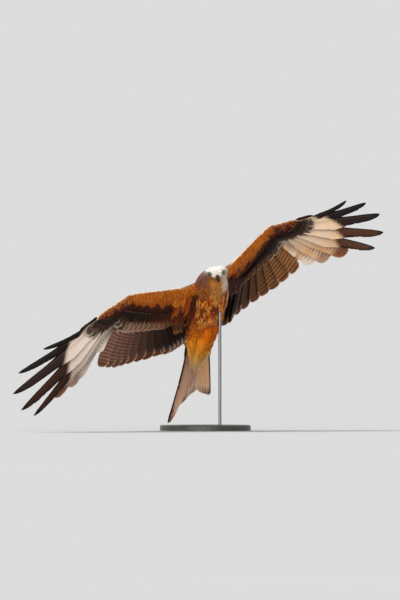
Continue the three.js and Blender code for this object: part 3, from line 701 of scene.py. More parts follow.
def trunk_colours(spots, under, fine, clump):
    """Golden with dark rufous streaks below, plainer and more orange behind; the back brown."""
    x, y = spots.T[:2]
    mottle, blotch = drift(spots * (0.4, 1, 1), 8, 21), drift(spots * (0.55, 1, 1), 26, 8)
    dark = ease(0.5, 0.42, mottle + (fine - 0.5) * 0.12) * between(1.0, 0.2, ease(-90, -140, x))
    dark = dark * ease(-205, -180, x) * between(1.0, 0.35, ease(28, 50, y))
    belly = layered(
        GOLDEN,
        (RUFOUS, ease(0.35, 0.65, clump * 0.5 + fine * 0.5)),
        (BUFF, ease(0.62, 0.95, fine * 0.6 + mottle * 0.4) * ease(-170, -110, x)),
        (PINKISH, ease(18, 42, y) * ease(-150, 0, x) * 0.9),
        (VENT, ease(-125, -185, x) * 0.75),
        ("#d39440", ease(-205, -235, x)),
        (STREAKS, dark * 0.8),
        ("#a34a08", ease(0.5, 0.62, blotch) * ease(-100, -140, x) * ease(-215, -190, x) * 0.7),
    )
    back = layered(BROWN, ("#7c4522", fine * 0.5), ("#70391a", ease(-225, -262, x)))
    streak = (0.1 + 0.25 * dark + (fine - 0.5) * 0.15) * ease(-205, -170, x)
    return blend(back, belly, under), np.where(under > 0.5, streak, 0.42 * ease(-260, -230, x))


# %% Colours of the small coverts
def wing_colours(spots, normals, under, fine, clump):
    """Rufous in front and a blackish band behind; also how strong the painted highlight along the front edge
    is.
    """
    out, up = np.abs(spots[:, 1]), normals[:, 2]
    front = np.interp(out, ARM_SHAPE[:, 1], ARM_SHAPE[:, 0]) - spots[:, 0]
    band = np.interp(out, (80, 150, 225, 283, 318, 400), (58, 54, 42, 26, 18, 16))
    behind = front - band + (fine - 0.5) * 14 + (clump - 0.5) * 15
    hand, spot = ease(300, 335, out), drift(spots, 5, 33) + (fine - 0.5) * 0.2
    below = layered(
        "#9c4406",
        ("#cf7d1e", fine * 0.8),
        ("#7a3208", ease(12, 45, front) * 0.35),
        ("#8a5a44", hand * 0.35),
        ("#35150a", hand * ease(0.46, 0.52, spot) * ease(2, 8, front) * 0.95),
        (layered("#0f0705", ("#2c150b", fine * 0.7)), ease(-2, 3, behind) * ease(95, 125, out)),
        ("#54190a", ease(130, 85, out) * ease(14, 50, front) * (0.45 + 0.5 * fine)),
    )
    above = layered("#6a3c20", ("#9a6238", fine * 0.6))
    # The pale rim along the wing's front edge, away from the body, is a painted highlight.
    rim = ease(8, 4, front) * ease(-0.5, 0.1, up) * ease(0.85, 0.6, up) * ease(92, 120, out)
    return blend(above, below, under), rim


# %% Colours of the head
WHITE, MAUVE, THROAT = "#d8d3cc", "#584746", "#bd8038"


def head_colours(place, fine):
    """Colour, streak width, colour of the streaks, and the white crown, in the head's directions."""
    forward, left, up = (dot(place, axis) for axis in (FRONT, SIDE, TOP))
    side = np.abs(left)
    ear = ease(22, 30, side) * ease(-42, -26, up)
    above = up - np.interp(side, (0, 20, 27, 43, 66, 80), (-5, -4, 4, 6, -9, -14))
    pale = layered(
        "#8f4f1c",
        ("#a58b78", ease(-20, 0, up)),
        # A pale patch on the left side only, below eye level, is painted light.
        ("#f0dcc8", ease(0, 10, left) * ease(-70, -45, up) * ease(6, -4, up)),
        (THROAT, ease(-6, -13, up) * ease(24, 10, np.abs(left + 3)) * ease(-38, -20, forward)),
        # The ear coverts are a little darker in their own colour; the right side's stronger share is painted
        # shade.
        (MAUVE, ear * np.where(left < 0, 0.95, 0.3) * (0.75 + 0.4 * (fine - 0.3))),
        (WHITE, ease(-4, 2, above)),
    )
    streak = 0.04 + (0.12 + 0.14 * fine) * ease(2, -8, above) + 0.12 * ear
    grey = layered("#8d8178", ("#6a3a1a", ease(0, -12, up)))
    return pale, streak, grey, ease(-4, 2, above)


# %% Rule of colour
EYE_SPOTS = [on_head(-2, 24, 0.5), on_head(-2, -24, 0.5)]


def coat_colours(spots, normals, dice):
    """Colour, colour of the marks, and streak width for each spot of the coat."""
    under = ease(0.25, -0.35, normals[:, 2])
    clump, fine = drift(spots, 16, 3), dice.uniform(0, 1, len(spots))
    base, streak = trunk_colours(spots, under, fine, clump)
    wing = ease(56, 74, np.abs(spots[:, 1]))
    small_coverts, rim = wing_colours(spots, normals, under, fine, clump)
    # The pale colour along the front edge of the wing is a painted highlight; its streaks are left out.
    base = layered(base, (small_coverts, wing), ("#f2e0c8", rim))
    streak = between(streak, between(0.35, 0.14, under), wing) * (1 - rim)
    place = spots - EYES
    near = ease(-96, -58, dot(place, FRONT) + (fine - 0.5) * 16)
    near = near * ease(100, 64, np.linalg.norm(place, axis=1) + (clump - 0.5) * 20)
    pale, thin, grey, crown = head_colours(place, fine)
    ring = [ease(12.5, 8.5, np.linalg.norm(spots - eye, axis=1)) for eye in EYE_SPOTS]
    # A dark ring round each eye, weaker above it; its stronger share round the right eye is painted shade.
    ring = np.maximum(ring[0] * 0.55, ring[1] * 0.9) * (ease(7, 3, dot(place, TOP)) * 0.7 + 0.3)
    base = layered(base, (pale, near), ("#3d2c25", ring))
    deep = layered(DARK, (grey, near), ("#5a2008", wing * under))
    tone = 0.92 + 0.32 * dice.uniform(0, 1, (len(spots), 1))
    base = base * between(tone, 1.0, (near * crown)[:, None])
    return base, deep, np.clip(between(streak, thin, near), 0, 0.8)


# %% Dressing the skin
TINT, DEEP, _ = coat_colours(SKIN_SPOTS, SKIN_NORMALS, np.random.default_rng(1))
NONE = np.zeros(TINT.shape)
for key, values in {"tint": TINT * 0.8, "deep": DEEP, "grain": NONE, "mark": NONE}.items():
    write_layer(SKIN, key, values)

SKIN_PAINT = feather_paint("skin_paint", 8.0, 0.9, 0.8, 0.0004)
FLESH = ["head", "neck", "torso", "tail", "thigh_left", "thigh_right"]
FLESH += ["wing_inner_left", "wing_inner_right", "wing_outer_left", "wing_outer_right"]
piece("skin", SKIN, SKIN_PAINT, "breast_feathers", *FLESH)

# %% [markdown]
# ## The coat
#
# Small feathers grow in staggered rows like roof tiles and lie back along the body. Each one is a thin
# closed blade with a raised shaft, and its points follow the skin. They are shortest round the bill and
# the eyes, narrow on the neck, and broad on the breast.


# %% Small feathers
COAT_DICE = np.random.default_rng(11)


def grow_blades(roots, normals, flat, flow, lengths, widths, lift, colours, rows):
    """A pile of small feathers; every value but the last has one entry a feather."""
    share = np.linspace(0, 1, rows)
    upright = np.abs(dot(unit(flow), normals))
    flow = unit(flow - normals * dot(flow, normals)[:, None])
    centre = roots[:, None] + flow[:, None] * (lengths[:, None] * share)[..., None]
    spots, ups, _ = nearest(centre)
    gap = np.linalg.norm(spots - centre, axis=-1)
    # Blades that would stand off the skin are left out
    keep = (gap.max(1) < 0.3 * lengths + 2.5) & (upright < 0.9)
    values = (normals, flat, lengths, widths, lift, centre, spots, ups, gap, *colours)
    normals, flat, lengths, widths, lift, centre, spots, ups, gap, tint, deep, streak = (
        value[keep] for value in values
    )
    count, reach = int(keep.sum()), lengths[:, None] * share
    shape = np.interp(share, (0, 0.25, 0.55, 0.8, 1), (0.45, 0.9, 1, 0.7, 0.1))
    shape = shape * COAT_DICE.uniform(0.9, 1.1, (count, rows))
    loose = (gap > 0.4 * lengths[:, None] * share + 2.5)[..., None]
    ups = np.where(loose, normals[:, None], ups)
    stand = (0.3 + lift[:, None] * lengths[:, None] * share)[..., None]
    centre = np.where(loose, centre, spots) + ups * stand
    ahead = unit(np.gradient(centre, axis=1))
    side = unit(np.cross(ups, ahead))
    ups = np.cross(ahead, side)
    half = (widths[:, None] * shape / 2)[..., None]
    ridge, belly = centre + ups * half * 0.12, centre + ups * (half * 0.12 - 0.3)
    ring = np.stack((centre + side * half, ridge, centre - side * half, belly), 2)
    first = np.arange(count)[:, None, None] * rows * 4
    faces = (ring_faces(rows, 4)[None] + first).reshape(-1, 4)
    corners = flat[:, None, None] + ring_corners(rows, 4, -0.0015, -0.0015, 0.003, 0.003)[None]
    fade = np.interp(share, (0, 0.5, 1), (0.8, 1.02, 1.12))[None, :, None, None]
    tint = np.minimum(tint[:, None, None] * fade, 0.92)
    grain = vectors(reach[..., None], (1.0, 0, -1, 0), share[:, None])
    mark = vectors(0, streak, COAT_DICE.uniform(0, 1, count))[:, None, None]
    pile = Pile()
    pile.add(ring, faces, corners, tint, deep[:, None, None], grain, mark)
    return pile


ARM_SWEEP = (95, 96, 97, 98, 97, 90, 80, 66, 48, 34, 22, 15)


def wing_flow(at, side):
    """The lie of the small coverts: straight back on the arm, more and more outwards on the hand."""
    sweep = np.radians(np.interp(at, np.arange(len(ARM_SWEEP)), ARM_SWEEP))
    return vectors(-np.sin(sweep), np.cos(sweep) * side, 0)


# %% [markdown]
# The lie of the coat comes from the lofts: along the body from bill to tail, along the wing as the long
# feathers point. It is read at each point of the skin, smoothed, and parted round the eyes.


# %% Lie of the coat
ON_BODY, ON_WING, ON_LEG = 0, 1, 2


def guides():
    """Sets of spots on the lofts, each with the lie there, the rows, and the part of the bird."""
    turns = np.linspace(0, 2 * np.pi, 48, endpoint=False)
    at = np.linspace(0.2, 15.9, 160)[:, None]
    way = body_at(at - 0.06, turns) - body_at(at + 0.06, turns)
    yield body_at(at, turns, -COAT_DEPTH), way, at, ON_BODY
    for side in (1, -1):
        at = np.linspace(0.6, 11, 110)[:, None]
        way = wing_flow(at[:, 0], side)[:, None]
        yield arm_at(at, turns, -WING_COAT_DEPTH) * (1, side, 1), way, at, ON_WING
        at = np.linspace(0.2, 4, 40)[:, None]
        leg = tube_at(THIGH, THIGH_RADII, at, turns) * (1, side, 1)
        yield leg, np.array((-1.0, 0, 0.15)), at, ON_LEG


def flow_on_skin():
    """For each point of the skin: the lie of the coat, the row of the body it belongs to, and its part."""
    sets = list(guides())
    spots = np.concatenate([s.reshape(-1, 3) for s, *_ in sets])
    ways = np.concatenate([np.broadcast_to(unit(way), s.shape).reshape(-1, 3) for s, way, *_ in sets])
    rows = np.concatenate([np.broadcast_to(at, s.shape[:2]).ravel() for s, _, at, _ in sets])
    parts = np.concatenate([np.full(s[..., 0].size, part) for s, _, _, part in sets])
    tree = KDTree(len(spots))
    for i, spot in enumerate(spots):
        tree.insert(spot, i)
    tree.balance()
    index = np.array([tree.find(Vector(p))[1] for p in SKIN_SPOTS])
    flow = ways[index]
    for eye in EYE_SPOTS:
        away = SKIN_SPOTS - eye
        flow = flow + unit(away) * (ease(15, 7, np.linalg.norm(away, axis=1)) * 2.2)[:, None]
    a, b = read(SKIN.edges, "vertices", 2, int).T
    for _ in range(14):
        flow = unit(flow - SKIN_NORMALS * dot(flow, SKIN_NORMALS)[:, None] * 0.9)
        total = flow.copy()
        for axis in range(3):
            from_a, from_b = flow[a, axis], flow[b, axis]
            total[:, axis] += np.bincount(a, from_b, len(flow)) + np.bincount(b, from_a, len(flow))
        flow = unit(total)
    return flow, rows[index], parts[index]


FLOW, ROW, PART = flow_on_skin()
LENGTH = np.interp(
    ROW, (0, 2, 4, 6, 8, 9.5, 11, 12, 13, 14, 15, 16), (36, 34, 32, 30, 27, 20, 13, 10, 8, 6.5, 5, 4)
)
LENGTH = np.select([PART == ON_BODY, PART == ON_WING], [LENGTH, 15.0], 26.0)
print("feathers of the body are", LENGTH.min().round(1), "to", LENGTH.max().round(1), "mm long")

# %% Sowing
SIZE_STEP = 1.28


def sown(wanted, share_of_length, smallest):
    """Evenly scattered spots on the part of the skin where wanted is true."""
    gap = np.maximum(LENGTH * share_of_length, smallest)
    use = wanted[CORNERS].all(1)
    corners, flat = CORNERS[use], FLAT[use]
    a, b, c = (SKIN_SPOTS[corners[:, k]] for k in range(3))
    area = np.linalg.norm(np.cross(b - a, c - a), axis=1) / 2
    weight = area / gap[corners].mean(1) ** 2
    pick = COAT_DICE.choice(len(corners), int(weight.sum() * 6), p=weight / weight.sum())
    r, s = np.sqrt(COAT_DICE.uniform(size=len(pick))), COAT_DICE.uniform(size=len(pick))
    parts = vectors(1 - r, r * (1 - s), r * s)[..., None]
    values = (SKIN_SPOTS, SKIN_NORMALS, FLOW, vectors(LENGTH, PART))
    spots, normals, flow, rest = ((v[corners[pick]] * parts).sum(1) for v in values)
    places = (flat[pick] * parts).sum(1)
    # Shorter where the lie turns sharply, so that feathers don't cross
    rest[:, 0] *= np.interp(np.linalg.norm(flow, axis=1), (0.8, 0.985), (0.35, 1))
    # One spot for each small cube of space, the one nearest to its middle
    size = np.log(np.interp(rest[:, 0], np.sort(LENGTH), np.sort(gap)))
    size = SIZE_STEP ** np.round(size / np.log(SIZE_STEP))
    cube = np.floor(spots / size[:, None])
    order = np.argsort(np.linalg.norm(spots / size[:, None] - cube - 0.5, axis=1))
    keys = np.column_stack((cube, np.round(size * 1000)))[order]
    keep = np.sort(order[np.unique(keys, axis=0, return_index=True)[1]])
    return spots[keep], unit(normals[keep]), places[keep], unit(flow[keep]), rest[keep]


# %% Coat of the body
MOST_TRIANGLES = 190000


def coat_body(name, wanted, share_of_length, smallest, ratio, lift, slot, rows=5):
    """Sows a part of the body and grows its feathers, in pieces of at most 190,000 triangles."""
    spots, normals, flat, flow, rest = sown(wanted, share_of_length, smallest)
    count = len(spots)
    length = rest[:, 0] * COAT_DICE.uniform(0.8, 1.2, count)
    for eye in EYE_SPOTS:
        length = length * (1 - 0.45 * ease(14, 8, np.linalg.norm(spots - eye, axis=1)))
    flow = flow + COAT_DICE.normal(0, 0.1, (count, 3))
    facing = ease(0.55, 0.9, -dot(unit(flow), normals)) * (rest[:, 1] > 0.5)
    flow[:, 2] += np.where(normals[:, 2] > -0.05, 1.4, -1.4) * facing
    lifts = np.full(count, lift) + COAT_DICE.uniform(0, 0.03, count)
    colours = coat_colours(spots, normals, COAT_DICE)
    most = MOST_TRIANGLES // ((rows - 1) * 8 + 4)
    for part, start in enumerate(range(0, count, most), 1):
        own = slice(start, start + most)
        values = [v[own] for v in (spots, normals, flat, flow, length, length * ratio, lifts)]
        pile = grow_blades(*values, [v[own] for v in colours], rows)
        piece(f"{name}_{part}", pile.mesh(f"{name}_{part}"), DOWN_PAINT, slot)


to_eye = np.min([np.linalg.norm(SKIN_SPOTS - eye, axis=1) for eye in EYE_SPOTS], axis=0)
forward, up = dot(SKIN_SPOTS - EYES, FRONT), dot(SKIN_SPOTS - EYES, TOP)
bare = (to_eye < 6.8) | ((forward > 13.5) & (np.abs(up) < 14))
near_body = (PART == ON_BODY) | ((PART == ON_WING) & (np.abs(SKIN_SPOTS[:, 1]) < 80))
head = (PART == ON_BODY) & (ROW > 11.4)
neck = (PART == ON_BODY) & (ROW > 9.0) & ~head
coat_body("coat_trunk", near_body & ~head & ~neck, 0.125, 1.0, 0.27, 0.05, "breast_feathers")
coat_body("coat_neck", neck, 0.13, 1.0, 0.26, 0.05, "breast_feathers")
coat_body("coat_head", head & ~bare, 0.14, 0.95, 0.3, 0.04, "head_feathers", 4)
coat_body("trousers", PART == ON_LEG, 0.13, 1.0, 0.2, 0.07, "breast_feathers")

# %% [markdown]
# On the arm and hand the small coverts stand in neat rows and follow the long feathers behind them, first
# straight back and then more and more outwards. At the front edge they fold over it.


# %% Rows of small coverts
def arm_rows():
    """Row numbers along the arm, about 4 mm apart, a little closer on the hand."""
    fine = np.linspace(0.9, 10.9, 800)
    middle = sum(arm_at(fine, np.full(800, a)) for a in (0.0, 1.571, 3.1416, 4.712)) / 4
    gap = np.interp(fine[1:], (0, 8, 11), (4.2, 3.6, 3.2))
    count = np.cumsum(np.linalg.norm(np.diff(middle, axis=0), axis=1) / gap)
    count = np.concatenate(([0], count))
    return np.interp(np.arange(0, count[-1]), count, fine)


def ring_of_spots(at, gap, start):
    """Spots round the arm in one row, about gap mm apart."""
    turns = np.linspace(start, 2 * np.pi + start, 97)
    steps = run(arm_at(np.full(97, at), turns))
    number = max(int(steps[-1] / gap), 3)
    want = (np.arange(number) + COAT_DICE.uniform(-0.3, 0.3, number)) / number
    turn = np.interp((want % 1) * steps[-1], steps, turns)
    return arm_at(at + COAT_DICE.uniform(-0.3, 0.3, number) * 0.02, turn)


# %% Small coverts of the wing
def coat_arm(side):
    ats = arm_rows()
    rings = [ring_of_spots(at, 3.8, 0.25 * (i % 2)) for i, at in enumerate(ats)]
    roots = np.concatenate(rings) * (1, side, 1)
    at = np.repeat(ats, [len(ring) for ring in rings])
    spots, normals, flat = nearest(roots)
    keep = (np.linalg.norm(spots - roots, axis=1) < 3.5) & (np.abs(spots[:, 1]) > 66)
    spots, normals, flat, at = spots[keep], normals[keep], flat[keep], at[keep]
    flow = wing_flow(at, side)
    flow = flow + COAT_DICE.normal(0, 0.05, flow.shape)
    flow[:, 2] += np.where(normals[:, 2] > -0.05, 1.2, -1.2) * ease(0.35, 0.8, normals[:, 0])
    length = np.interp(at, (0, 3, 7, 11), (19, 17, 14, 11)) * COAT_DICE.uniform(0.85, 1.15, len(at))
    gap = np.interp(np.abs(spots[:, 1]), ARM_SHAPE[:, 1], ARM_SHAPE[:, 0]) - spots[:, 0]
    length = length * (0.5 + 0.5 * ease(0, 25, gap))
    colours = coat_colours(spots, normals, COAT_DICE)
    lift = np.full(len(at), 0.05)
    return grow_blades(spots, normals, flat, flow, length, length * 0.4, lift, colours, 5)


for word, side in (("left", 1), ("right", -1)):
    piece(f"coat_wing_{word}", coat_arm(side).mesh(f"coat_wing_{word}"), DOWN_PAINT, "wing_feathers")

# %% [markdown]
# ## Long feathers
#
# A flight feather is a thin, slightly cambered vane on both sides of a stiff shaft. Each is built as a
# closed ring of points swept along the shaft, with its edges a little frayed. Neighbours are tilted so
# that each one's outer edge lies over the next. On the flat picture every feather has its own strip.

# %% Outlines of vanes
# Each row: share of the length, share of the outer and of the inner half width.
ROUND = ((0, 0.1, 0.06), (0.1, 0.5, 0.4), (0.42, 0.97, 0.9), (0.88, 0.98, 0.97), (1, 0.86, 0.8))
FINGER = ((0, 0.2, 0.06), (0.1, 0.55, 0.5), (0.42, 0.9, 1), (0.6, 0.5, 0.72))
FINGER += ((0.84, 0.44, 0.56), (0.94, 0.34, 0.36), (1, 0.1, 0.1))
PLUME = ((0, 0.5, 0.5), (0.4, 1, 1), (0.75, 0.85, 0.85), (0.92, 0.5, 0.5), (1, 0.15, 0.15))
COVERT = ((0, 0.35, 0.35), (0.35, 0.85, 0.85), (0.78, 1, 1), (1, 0.8, 0.8))
RIB = 0.09
COLUMNS = np.array((1, 0.9, 0.68, 0.38, RIB, 0, -RIB, -0.38, -0.68, -0.9, -1))
AROUND = 2 * len(COLUMNS)
FRAY_DICE = np.random.default_rng(5)


def lie_of(rows, shares, tilts, lifts):
    """Centres, side and up directions of a row of feathers, each leaning on its neighbours."""
    own = shafts(rows, shares)
    before, after = np.concatenate((own[:1], own[:-1])), np.concatenate((own[1:], own[-1:]))
    along = unit(np.gradient(own, axis=1))
    flat = unit(np.cross(after - before, along))
    level = unit(np.cross(along, flat))
    tilt = np.radians(between(*tilts, shares))[None, :, None]
    side = level * np.cos(tilt) + flat * np.sin(tilt)
    up = flat * np.cos(tilt) - level * np.sin(tilt)
    lift = np.broadcast_to(lifts, len(rows))[:, None, None] * (1 - 0.2 * shares[None, :, None])
    return own + flat * lift, side, up


# %% One vane
def vane_ring(centre, side, up, inner, outer, thick, share, curve, slant):
    """Rings of points of one vane: its top from the outer to the inner edge, then its underside back."""
    width = np.where(COLUMNS > 0, outer[:, None], inner[:, None]) * COLUMNS
    rib = np.abs(COLUMNS) == RIB
    width = np.where(rib, np.sign(COLUMNS) * np.minimum(np.abs(width), thick[:, None] * 0.7 + 0.3), width)
    fray = FRAY_DICE.uniform(0, 1, (len(centre), 2))
    width[:, (0, -1)] *= 1 - 0.09 * ease(0.8, 1.0, fray) * ease(0.15, 0.4, share)[:, None]
    sweep = np.abs(width) * 0.3 * (1 - share[:, None]) ** 0.5 * ease(0, 0.2, share)[:, None]
    ripple = FRAY_DICE.normal(0, 0.25, (len(centre), len(COLUMNS))) * np.abs(COLUMNS)
    sag = (-0.05 * np.abs(width) - 0.0012 * width**2) * curve + ripple * min(curve, 1)
    height = np.where(COLUMNS == 0, thick[:, None] / 2, np.where(rib, 0.32, 0.22))
    ahead = unit(np.gradient(centre, axis=0))
    # A slanting end makes one even edge with the feathers beside it
    cut = width * slant * ease(0.55, 1, share)[:, None]
    middle = centre[:, None] + side[:, None] * width[..., None] + up[:, None] * sag[..., None]
    middle = middle + ahead[:, None] * (sweep + cut)[..., None]
    top, under = middle + up[:, None] * height[..., None], middle - up[:, None] * height[..., None]
    return np.concatenate((top, under[:, ::-1]), 1)


def shelves(lengths, widths, margin=6):
    """Places of the strips on the flat picture, longest first, and the size of the picture."""
    across = np.sqrt((lengths * widths).sum()) * 1.12
    left, low, shelf, places = 0.0, 0.0, 0.0, []
    for i in np.argsort(-lengths):
        wide, high = widths[i] + margin, lengths[i] + margin
        if left + wide > across:
            left, low, shelf = 0.0, low + shelf, 0.0
        places.append((i, left + margin / 2, low + margin / 2))
        left, shelf = left + wide, max(shelf, high)
    return places, max(across, low + shelf)


# %% Rows of vanes
def add_vanes(
    pile, rows, profiles, tilts, lifts, thick, paint, count, mirror, tips, stretch=1, curve=1, slants=0
):
    """Adds a row of feathers; paint gives the colours from number, share, across, top and place."""
    tips, slants = np.broadcast_to(tips, len(rows)), np.broadcast_to(slants, len(rows))
    # Shares of the length, closer together at the rounded tip
    shares = 1 - (1 - np.linspace(0, 1, count)) ** 1.35
    centre, side, up = lie_of(rows, shares, tilts, lifts)
    lengths, widths = np.linalg.norm(rows[:, 3:6] - rows[:, :3], axis=1), (rows[:, 8] + rows[:, 9]) * 2
    places, size = shelves(lengths, widths)
    s, c = np.meshgrid(shares, np.concatenate((COLUMNS, COLUMNS[::-1])), indexing="ij")
    top = np.broadcast_to(np.arange(AROUND) < AROUND // 2, s.shape)
    for i, x, y in places:
        profile = np.array(profiles[i % len(profiles)])
        close = np.sqrt(1 - np.clip((shares - 1 + tips[i]) / tips[i], 0, 1) ** 2 * 0.985)
        outer, inner = (
            np.interp(shares, profile[:, 0], profile[:, k]) * rows[i, 10 - k] * close for k in (1, 2)
        )
        stiff = between(thick, 0.7, shares)
        ring = vane_ring(centre[i], side[i], up[i], inner, outer, stiff, shares, curve, slants[i])
        tint, deep, bars, streak = paint(i, s, c, top, ring)
        mark = vectors(bars, streak, (i * 0.618 + mirror * 0.19) % 1)
        corners = ring_corners(count, AROUND, x / size, y / size, widths[i] / size, lengths[i] / size)
        grain = vectors(s * lengths[i] * stretch, c, s)
        pile.add(ring, ring_faces(count, AROUND), corners, tint, deep, grain, mark, mirror=mirror)

# %% [markdown]
# From below, the hand shows the kite's pale window between dark fingers and the wrist, and the arm is
# grey-brown with dark bars. From above the long feathers are blackish.


# %% Colours of the hand
PALE_BASES = {"left": ("#dba673", "#dec0a2"), "right": ("#b9a294", "#cdbbae")}
DARK_BASES, WHITE_TIPS = (0.95, 0.8, 0.45, 0.15, 0.0), (0.8, 0.8, 0.75, 0.4, 0.15)
FINGER_START = (0.52, 0.47, 0.45, 0.42, 0.34)
FINGER_BROWN = ("#5c3a28", "#53321f", "#32201c", "#241618", "#1c1214")


def window(s, c, mirror):
    """The pale window at the bases of the primaries."""
    near_tip, near_root = PALE_BASES["right" if mirror else "left"]
    near_shaft = ease(0.14, 0.04, np.abs(c)) * 0.6
    return layered(near_tip, (near_root, ease(0.7, 0.3, s)), ("#9a8272", near_shaft))


def inner_primary(p, s, c, edge_highlight, mirror):
    """Colour, colour of the bars, and bars of the five inner primaries from below."""
    low = layered(
        window(s, c, mirror),
        ("#f3e4d2", ease(0.6, 0.86, s) * WHITE_TIPS[p] * ease(0.5, -0.1, c)),
        ("#97796a", ease(0.25, 0.8, c) * (0.6 if p < 1 else 0.15)),
        ("#4e382e", ease(0.75 if mirror else 0.56, 0.4, s) * DARK_BASES[p]),
    )
    if p > 2:
        low = layered(low, ("#7c4420", ease(0.76, 0.9, s - 0.04 * c) * (0.6 if p == 3 else 0.95)))
    bars = 0.8 * ease(0.55, 0.68, s) * ease(0.95, 0.85, s) * ease(0.75, 0.25, np.abs(c))
    return layered(low, ("#e8dccf", edge_highlight * 0.75)), colour("#4a3226"), bars


def finger(p, s, c, mirror):
    """The same for the five fingers."""
    black = ease(FINGER_START[p] - 0.025, FINGER_START[p] + 0.02, s + 0.07 * c)
    middle = ease(0.85, 0.4, np.abs(c + 0.15)) * ease(0.99, 0.9, s)
    brown = (0.35 if mirror else 0.95) if p < 2 else 0.6
    low = layered(window(s, c, mirror), (layered("#0d0809", (FINGER_BROWN[p], middle * brown)), black))
    return low, colour("#2b1812"), 0.3 * black * middle * (p < 2)


# %% Colours of the long feathers
def arm_feather(i, s, c, edge_highlight, mirror):
    """The same for tertials and secondaries: darker towards the body, with bars further out."""
    out = ease(2, 13, i)
    far, power = ("#866050", 2.4) if mirror else ("#946032", 3.2)
    tip = ease(0.84, 0.95, s) * 0.7
    low = layered("#1c0f0a", (far, out**power), ("#6b3a1f", tip), ("#e8d8c8", edge_highlight))
    bars = (0.1 + 0.85 * out) * ease(0.25, 0.4, s) * ease(1.0, 0.93, s)
    bars = bars * (0.8 if mirror else 1.0) * (1 - 0.35 * ease(0.1, 0.5, c))
    return low, colour("#2b1a13" if mirror else "#26130b"), bars


def wing_paint(mirror):
    """Colour rule for the long feathers of one wing."""

    def paint(i, s, c, top, ring):
        edge = ease(0.86, 0.98, np.abs(c))
        # A pale line along the tip and along both edges near it is a painted highlight.
        edge_highlight = np.maximum(edge * ease(0.8, 0.95, s), ease(0.982, 1, s)) * 0.8
        if i < ARM:
            low, deep, bars = arm_feather(i, s, c, edge_highlight, mirror)
        elif i < ARM + 5:
            low, deep, bars = inner_primary(i - ARM, s, c, edge_highlight, mirror)
        else:
            low, deep, bars = finger(i - ARM - 5, s, c, mirror)
        pale = np.maximum(edge, ease(0.96, 1, s)) * 0.35
        high = layered("#2a1d17", ("#4b3528", ease(0, -0.25, c) * 0.6), ("#8a6f58", pale))
        return np.where(top[..., None], high, low), deep, np.where(top, 0.35, bars), 0

    return paint


def long_feathers(mirror):
    """Flight feathers; fingers and inner primaries are a little longer and wider than in the solids."""
    pile = Pile()
    rows = QUILLS.copy()
    rows[ARM + 5 :, 3:6] += unit(rows[ARM + 5 :, 3:6] - rows[ARM + 5 :, :3]) * (3 if mirror else 11)
    rows[ARM : ARM + 4, 8:] *= 1.12
    profiles = [ROUND] * (ARM + 5) + [FINGER] * 5
    tips = [0.09] * (ARM + 5) + [0.03] * 5
    # The innermost stand a little apart, so that they don't cut into each other
    apart = np.interp(np.arange(len(rows)), (0, 9), (6.5, 0))
    paint, stretch = wing_paint(mirror), 1.0 if mirror else 0.72
    add_vanes(pile, rows, profiles, (15, 7), apart, 2.4, paint, 44, mirror, tips, stretch=stretch)
    return pile


# %% Coverts
def feather_rows(root, tip, arch, bow, inner, outer):
    """Rows of numbers from roots, tips, arches, bows and half widths."""
    return np.column_stack(np.broadcast_arrays(*root.T, *tip.T, arch, bow, inner, outer))


def rows_between(rows, at):
    """Feathers in between the ones given."""
    return np.stack([np.interp(at, np.arange(len(rows)), column) for column in rows.T], 1)


def covert_paint(bases, tips, streak):
    """Colour rule for coverts: colours of feathers and tips, by the body, far out, and on the hand."""
    bases, tips = ((codes,) * 3 if isinstance(codes, str) else codes for codes in (bases, tips))

    def paint(i, s, c, top, ring):
        reach = np.abs(ring[..., 1])
        spread, hand = ease(110, 290, reach), ease(318, 345, reach)
        base, tip = (layered(by, (far, spread), (on_hand, hand)) for by, far, on_hand in (bases, tips))
        spot = np.random.default_rng(900 + i).uniform(0.82, 1.18)
        rim = np.maximum(ease(0.84, 0.95, s), ease(0.7, 0.95, np.abs(c)) * ease(0.5, 0.8, s))
        return layered(base * spot, (tip, rim * 0.9)), colour("#140b08"), 0.1, streak

    return paint


# Colours of feathers and tips by the body, far out and on the hand, and the width of the streak.
# Below, the first two tiers differ on the two wings: the darker colours of the left wing are painted shade.
UNDER_RIGHT = [
    (("#4a2a18", "#7c5a48", "#4a3a32"), ("#6e3c1a", "#c4a184", "#bda995"), 0.1),
    (("#2c140a", "#583a2a", "#2c1c17"), ("#8a4c20", "#a07c60", "#6d5342"), 0.14),
]
# Painted shade: the left wing's first two tiers below are darker than the right wing's.
UNDER_LEFT = [
    (("#22110a", "#54321c", "#4a3a32"), ("#5c341a", "#93683e", "#bda995"), 0.1),
    (("#1c0c07", "#36200f", "#2c1c17"), ("#52290f", "#6e4a2a", "#6d5342"), 0.14),
]
UNDER_FRONT = [(("#4a180a", "#150b07", "#1a100d"), ("#7c300e", "#341c10", "#5b3a28"), 0.2)]
OVER = [
    (("#3d2a1e", "#2f211a", "#2a1e18"), ("#8f735c", "#7d6450", "#5b4436"), 0.14),
    (("#80603f", "#735438", "#5b4232"), ("#b8986f", "#b0906a", "#8a6c50"), 0.18),
    (("#6f4427", "#643d23", "#4d3020"), ("#9a6c42", "#90663e", "#7a5a3c"), 0.2),
]
# Tier: number of feathers, reach on arm and hand, lift on arm and hand, inner and outer half width.
TIERS = [
    (25, 0.44, 0.26, -8, -9, 20, 15),
    (30, 0.33, 0.19, -11, -12, 17, 13),
    (38, 0.25, 0.13, -14, -14.5, 12, 10),
    (26, 0.5, 0.32, 5.5, 5.5, 24, 17),
    (30, 0.36, 0.23, 8, 7, 20, 15),
    (36, 0.26, 0.16, 10.5, 9, 14, 11),
]


